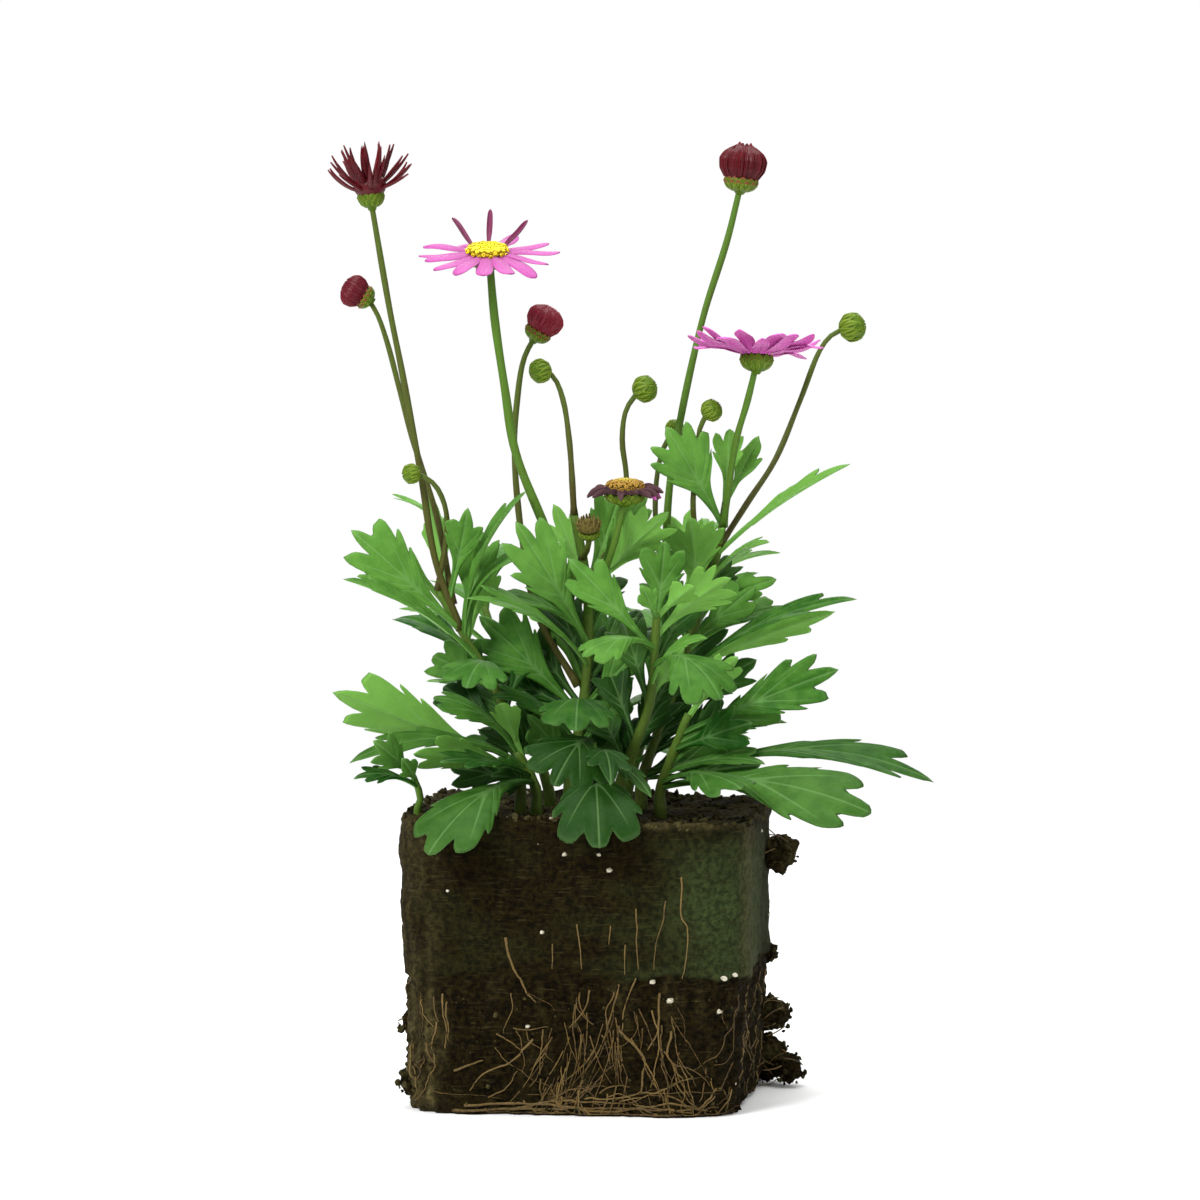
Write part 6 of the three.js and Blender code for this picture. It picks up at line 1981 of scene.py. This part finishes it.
    def clods(self) -> list[Patch]:
        """Clods that stand out of the sides, with the broad form of their solids."""
        sphere, faces = ball_mesh(5)
        patches = []
        for k, (x, y, z, radius) in enumerate(CLODS):
            centre = np.array([x, y, max(z, 1.0)])
            if x < 0:
                centre, radius = centre + (1.4, 0, 0), radius * 0.85
            reach = np.array([self.reach(centre, way, radius) for way in sphere])
            relief = rough(sphere * 1.9 + k * 7, 60 + k, 5) * 0.2 * radius
            relief += rough(sphere * 6 + k, 80, 3) * 0.09 * radius
            relief += 0.06 * radius * np.abs(rough(sphere * 3.3 + k, 90, 3))
            points = centre + sphere * (reach * 0.95 + relief)[:, None]
            points[:, 2] = np.maximum(points[:, 2], 0.1)
            dry = np.full(len(points), 0.35) * ease(-0.2, 0.8, rough(points * 0.25, 71))
            patches.append(Patch(points, [faces], {"pale": dry, "algae": 0.4 * dry}))
        return patches

    def reach(self, centre: Array, way: Array, radius: float) -> float:
        """Distance from a clod's middle to the solid's skin, at most a little over its radius."""
        farthest = 1.15 * radius * MM
        found = self.solid.ray_cast(Vector(centre * MM), Vector(way), farthest)[3]
        return radius * 0.95 if found is None else min(found / MM, 1.12 * radius)

    def crumbs(self) -> list[Patch]:
        """Loose crumbs on the soil, along the rim and the ledge, and low on the sides."""
        coarse, coarse_faces = ball_mesh(2)
        fine, fine_faces = ball_mesh(1)
        dice = self.dice
        patches = []
        spots = [(self.on_soil(), dice.uniform(0.35, 1.25)) for _ in range(self.soil_crumbs)]
        spots += [(self.on_rim(), dice.uniform(0.3, 1.0)) for _ in range(self.rim_crumbs)]
        for _ in range(self.side_crumbs):
            spots.append((self.on_side(0.5, 31), dice.uniform(0.25, 0.8)))
        for clod in CLODS:
            for _ in range(self.clod_crumbs):
                spots.append((self.on_clod(clod), dice.uniform(0.3, 1.0)))
        for k, (spot, size) in enumerate(spots):
            shape, faces = (coarse, coarse_faces) if size > 0.75 else (fine, fine_faces)
            squash = dice.uniform(0.55, 1.0, 3)
            swell = size * (1 + 0.45 * noise(shape * 1.9 + k * 3.1, 5))
            points = spot + shape * squash * swell[:, None]
            points[:, 2] = np.maximum(points[:, 2], 0.1)
            tone = float(dice.uniform(0, 1))
            flat = np.ones(len(points))
            tones = {"pale": flat * (tone**2 * 0.7), "algae": flat * (0.25 * tone)}
            patches.append(Patch(points, [faces], tones))
        return patches

    def on_soil(self) -> Array:
        """A random spot on the soil."""
        angle = np.array(self.dice.uniform(0, math.tau))
        share = math.sqrt(self.dice.uniform(0.0, 0.94))
        radius = self.square(angle, np.array(BALL_TOP_SIDE)) * share
        return self.place(angle, radius, self.rim(angle) - self.dip(share))

    def on_clod(self, clod: tuple[float, float, float, float]) -> Array:
        """A random spot on a clod or just inside it."""
        x, y, z, radius = clod
        way = unit(self.dice.normal(size=3)) * (0.7 if x < 0 else 0.85)
        return np.array([x, y, max(z, 1.0)]) + way * radius

    def on_rim(self) -> Array:
        """A random spot on the top edge."""
        angle = np.array(self.dice.uniform(0, math.tau))
        high = float(self.rim(angle)) - self.dice.uniform(-0.2, 1.6)
        radius = self.side(angle[None], np.array([high]))[0] - self.dice.uniform(0.2, 2.4)
        return self.place(angle, radius, np.array(high))

    def on_side(self, low: float, high: float) -> Array:
        """A random spot on the sides between two heights."""
        angle = np.array(self.dice.uniform(0, math.tau))
        height = self.dice.uniform(low, high)
        radius = self.side(angle[None], np.array([height]))[0] - self.dice.uniform(0.0, 0.5)
        return self.place(angle, np.array(radius), np.array(height))

    def front(self, x: Array, height: Array, proud: float) -> Array:
        """Points on the front face from their x and height, a little proud of the peat."""
        along = (x - BALL_TOP_SIDE / 2 * math.sin(BALL_TURN)) / math.cos(BALL_TURN)
        angle = -math.pi / 2 + np.arctan2(along, BALL_TOP_SIDE / 2)
        return self.place(angle, soften(self.side(angle, height), 3) + proud, height)

    def roots(self) -> list[Patch]:
        """Roots on the front face as they are seen, and more of their kind on the other sides."""
        patches = []
        for k, (radius, route) in enumerate(FACE_ROOTS):
            line = smooth_path(np.array(route, float), 0.7)
            spots = np.c_[line, line[:, :1] * 0 + k] * 0.4
            line = line + 0.25 * np.stack([noise(spots, 3), noise(spots, 9)], 1)
            path = self.front(line[:, 0], np.maximum(line[:, 1], 0.7), -radius * 0.15)
            share = np.linspace(0, 1, len(path))
            thin = radius * 0.5 * (1 - 0.45 * share) * (1 + 0.1 * np.sin(share * 31 + k))
            patches.append(tube(path, thin, 7, {"tint": np.full(len(path), 0.25 + 0.6 * draw(k))}))
        patches += self.fan() + self.hairs()
        patches += self.threads(self.front_threads, -math.pi / 2, 0.6, 1, 6)
        return patches + self.threads(self.other_threads, None, 0.7, 1.5, 31)

    def fan(self, count: int = 56) -> list[Patch]:
        """Fine roots that spread downwards over the middle of the front face."""
        dice = self.dice
        patches = []
        for _ in range(count):
            x, z = dice.uniform(-10, 24), dice.uniform(7, 27)
            steps = int(dice.uniform(8, 26))
            drift = 0.03 * (x - 6) + dice.normal(0, 0.25) + np.cumsum(dice.normal(0, 0.1, steps))
            high = np.maximum(z - 0.8 * np.arange(steps), 0.8)
            path = self.front(x + np.cumsum(0.7 * drift), high, 0.02)
            size = dice.uniform(0.1, 0.24) * np.linspace(1, 0.5, steps)
            patches.append(tube(path, size, 5, {"tint": np.full(steps, dice.uniform(0, 1) ** 2)}))
        return patches

    def hairs(self, count: int = 9) -> list[Patch]:
        """Hair roots that join the clods to the ball."""
        dice = self.dice
        patches = []
        for clod in CLODS:
            for _ in range(count):
                start = self.on_clod(clod)
                end = start * (0.9, 0.9, 1) + (0, 0, dice.uniform(-3, 5))
                share = np.linspace(0, 1, 9)[:, None]
                sway = unit(dice.normal(size=3)) * np.sin(share * math.pi) * dice.uniform(0.3, 1.2)
                path = start + (end - start) * share + sway
                path[:, 2] = np.maximum(path[:, 2], 0.5)
                size, tint = dice.uniform(0.1, 0.2), dice.uniform(0, 1)
                patches.append(tube(path, size, 5, {"tint": np.full(len(path), tint)}))
        return patches

    def threads(
        self, count: int, middle: float | None, spread: float, low: float, high: float
    ) -> list[Patch]:
        """Thin wandering roots.

        Args:
            count: How many.
            middle: The angle round which they gather, or None for all round.
            spread: How far from it they start.
            low: The lowest height that they start at.
            high: The highest.

        Returns:
            Their skins.
        """
        dice = self.dice
        patches = []
        for _ in range(count):
            if middle is None:
                angle, way = dice.uniform(0, math.tau), -math.pi / 2
            else:
                angle, way = dice.normal(middle + 0.12, spread * 0.5), 0.0
            height = dice.uniform(low, high)
            steps = int(dice.uniform(7, 20))
            turns = dice.normal(way, 0.5) + np.cumsum(dice.normal(0, 0.2, steps))
            angles = angle + np.cumsum(np.cos(turns)) * 0.9 / (BALL_TOP_SIDE / 2)
            heights = np.clip(height + np.cumsum(np.sin(turns)) * 0.9, 0.6, 33)
            size = dice.uniform(0.12, 0.26)
            path = self.place(angles, soften(self.side(angles, heights), 1) + 0.02, heights)
            values = {"tint": np.full(steps, dice.uniform(0, 1) ** 2)}
            patches.append(tube(path, size * np.linspace(1, 0.5, steps), 5, values))
        return patches

    def perlite(self) -> list[Patch]:
        """White grains on the front face, and a few on the other sides and the soil."""
        shape, faces = ball_mesh(2)
        dice = self.dice
        spots = [
            (self.front(np.array([x]), np.array([z]), 0.1)[0], size) for x, z, size in PERLITE
        ]
        for _ in range(self.side_perlite):
            spots.append((self.on_side(4, 66), dice.uniform(0.3, 0.6)))
        for _ in range(self.soil_perlite):
            spots.append((self.on_soil() + (0, 0, 0.3), dice.uniform(0.4, 0.8)))
        return [
            Patch(lump(shape, np.zeros(3), k) * size * (1, 1, 0.8) + spot, [faces])
            for k, (spot, size) in enumerate(spots)
        ]

    def build(self) -> None:
        """Place the root ball's pieces in the frame."""
        peat = PeatFinish("damp_peat", 0.95, 0.06).material()
        crumb = PeatFinish(
            "peat_crumb", 0.95, 0.06, dark=paint(20, 17, 7), brown=paint(44, 36, 19)
        ).material()
        root = RootFinish("golden_root", 0.6, 0.3).material()
        grain = RootFinish(
            "perlite_grain", 0.8, 0.3, gold=paint(196, 190, 172), old=paint(140, 134, 112),
            pale=paint(215, 212, 200),
        ).material()
        for name, patches, material in (
            ("peat_block", [self.block()], peat),
            ("peat_clods", self.clods(), crumb),
            ("peat_crumbs", self.crumbs(), crumb),
            ("golden_roots", self.roots(), root),
            ("perlite_grains", self.perlite(), grain),
        ):
            place_piece(name, patches, material, "peat", ("root_ball",))


# Stage


@dataclass
class Stage:
    """Floor, backdrop, soft lights and the camera."""

    floor_radius: float = 0.9
    floor_corners: int = 96
    lit_height: float = 0.11
    ambient: float = 0.42

    def floor(self) -> None:
        """A round pale floor."""
        angle = np.linspace(0, math.tau, self.floor_corners, endpoint=False)
        ring = np.stack([np.cos(angle), np.sin(angle), 0 * angle], 1) * self.floor_radius
        mesh = bpy.data.meshes.new("floor")
        mesh.from_pydata(ring.tolist(), [], [tuple(range(self.floor_corners))])
        mesh.materials.append(FloorFinish("pale_floor", reach=self.floor_radius).material())
        floor = link("floor", mesh)
        floor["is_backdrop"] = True

    def lights(self) -> None:
        """Large soft lights: a key at the upper left, a fill at the right and two more."""
        plan = (
            ("key", (-0.75, -0.95, 0.95), 0.5, 24.0),
            ("fill", (0.95, -0.8, 0.45), 0.9, 5.0),
            ("above", (0.05, 0.1, 1.15), 0.8, 13.0),
            ("behind", (0.1, 1.1, 0.6), 0.9, 6.0),
        )
        for name, place, size, power in plan:
            lamp = bpy.data.lights.new(name, "AREA")
            lamp.size, lamp.energy = size, power
            light = link(name, lamp)
            light.location = place
            aim(light, Vector((0, 0, self.lit_height)))

    def world(self) -> None:
        """A white backdrop that lights the plant softly."""
        world = bpy.data.worlds.new("backdrop")
        world.use_nodes = True
        world.node_tree.nodes.clear()
        bench = Bench(world.node_tree)
        seen_plain = bench.add("ShaderNodeLightPath", {}).outputs["Is Camera Ray"]
        strength = bench.maths("MULTIPLY_ADD", seen_plain, 1 - self.ambient, self.ambient)
        light = bench.add("ShaderNodeBackground", {"Color": (1, 1, 1, 1), "Strength": strength})
        bench.add("ShaderNodeOutputWorld", {"Surface": light.outputs[0]})
        bpy.context.scene.world = world
        bpy.context.scene.view_settings.view_transform = "Standard"

    def camera(self) -> None:
        """The camera where the photograph was taken from."""
        lens = bpy.data.cameras.new("camera")
        lens.sensor_width = SENSOR
        lens.lens = SENSOR * -EYE[1] / FRAME_WIDTH
        lens.clip_end = 20
        camera = link("camera", lens)
        camera.location = Vector(EYE) * MM
        aim(camera, Vector((EYE[0], 0, EYE_AIM_HEIGHT)) * MM)
        bpy.context.scene.camera = camera

    def build(self) -> None:
        """Make the whole stage."""
        self.world()
        self.floor()
        self.lights()
        self.camera()


def build_heads() -> None:
    """Place the flower heads' pieces in the frame."""
    pink = PetalFinish("pink_petal", 0.5, 0.3, 0.15, 0.18).material()
    lilac = PetalFinish(
        "lilac_petal", 0.5, 0.3, 0.15, 0.2, foot=paint(182, 66, 154), tip=paint(202, 84, 178),
        streak=paint(220, 130, 204), back=paint(194, 76, 164),
    ).material()
    maroon = PetalFinish(
        "maroon_petal", 0.45, 0.25, 0.0, 0.05, foot=paint(74, 8, 18), tip=paint(110, 10, 26),
        streak=paint(134, 30, 46), back=paint(78, 8, 20), nerves=0.25,
    ).material()
    red = PetalFinish(
        "red_petal", 0.45, 0.25, 0.0, 0.06, foot=paint(132, 56, 48), tip=paint(156, 40, 60),
        streak=paint(182, 88, 96), back=paint(112, 24, 40), nerves=0.22,
    ).material()
    crimson = PetalFinish(
        "crimson_petal", 0.45, 0.25, 0.0, 0.06, foot=paint(104, 20, 32), tip=paint(130, 22, 44),
        streak=paint(152, 60, 72), back=paint(86, 10, 26), nerves=0.2,
    ).material()
    # The frame has a material of this name, so the petals show its plain colour
    dead = PetalFinish(
        "dead_petal", 0.8, 0.2, 0.1, 0.0, foot=paint(60, 34, 30), tip=paint(46, 22, 26),
        streak=paint(104, 60, 52), back=paint(30, 16, 18), nerves=0.5,
    ).material()
    scale = BractFinish(
        "dry_scale", 0.8, 0.2, middle=paint(84, 76, 36), margin=paint(134, 116, 64)
    ).material()
    yellow = FloretFinish("yellow_floret", 0.6, 0.3).material()
    amber = FloretFinish(
        "amber_floret", 0.7, 0.25, young=paint(178, 168, 70), open=paint(170, 132, 50),
        hollow=paint(110, 80, 30),
    ).material()
    for name, seed, shape, petal in (
        ("bloom_left", 11, (0.5, 0.7, 0.06, 0.08, 0.35, 16, 1.2), pink),
        ("bloom_right", 23, (0.0, 1.2, 0.3, 0.0, 0.8, 20, 1.0), lilac),
    ):
        bloom = OpenBloom(name, seed, *shape)
        place_piece(f"{name}_rays", bloom.rays(), petal, "petal_pink", (f"{name}_petals",))
        place_piece(f"{name}_florets", bloom.disc(), yellow, "disc_yellow", (f"{name}_disc",))
    brush = HalfOpenBloom("half_open").petals()
    place_piece("half_open_quills", brush, maroon, "petal_maroon", ("half_open_petals",))
    for name, petal, slot, spikes in (
        ("tall_bud", maroon, "petal_maroon", 1.0), ("left_bud", crimson, "petal_red", 0.2),
        ("middle_bud", red, "petal_red", 0.3),
    ):
        bud = ClosedBud(name, spikes).petals()
        place_piece(f"{name}_barrel", bud, petal, slot, (f"{name}_petals",))
    faded = FadedBloom("faded", 31, 0.0, 1.6, spread=0.92)
    place_piece("faded_shreds", faded.petals(), dead, "dead_petal", ("faded_petals",))
    place_piece("faded_remnant", faded.remnant(), pink, "petal_pink", ("faded_petals",))
    place_piece("faded_florets", faded.disc(), amber, "disc_amber", ("faded_disc",))
    knob = SpentHead("spent").scales()
    place_piece("spent_scales", knob, scale, "disc_amber", ("spent_head",))


def main() -> None:
    """Build the stage, the root ball, the shoots and the flower heads."""
    logging.basicConfig(level=logging.INFO, format="%(message)s")
    Stage().build()
    RootBall().build()
    leaf = LeafFinish("downy_leaf", 0.5, 0.09, 0.0, 0.14).material()
    stalk = StalkFinish("ribbed_stalk", 0.5, 0.15).material()
    bract = BractFinish("bract_green", 0.5, 0.15).material()
    for number, name in enumerate(SHOOTS, 1):
        ShootMaker(name, number, SHADE.get(name, 0.0)).build(leaf, stalk, bract)
    build_heads()
    boxes = [[list(corner) for corner in box] for box in (CAD_BOX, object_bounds())]


if __name__ == "__main__":
    main()
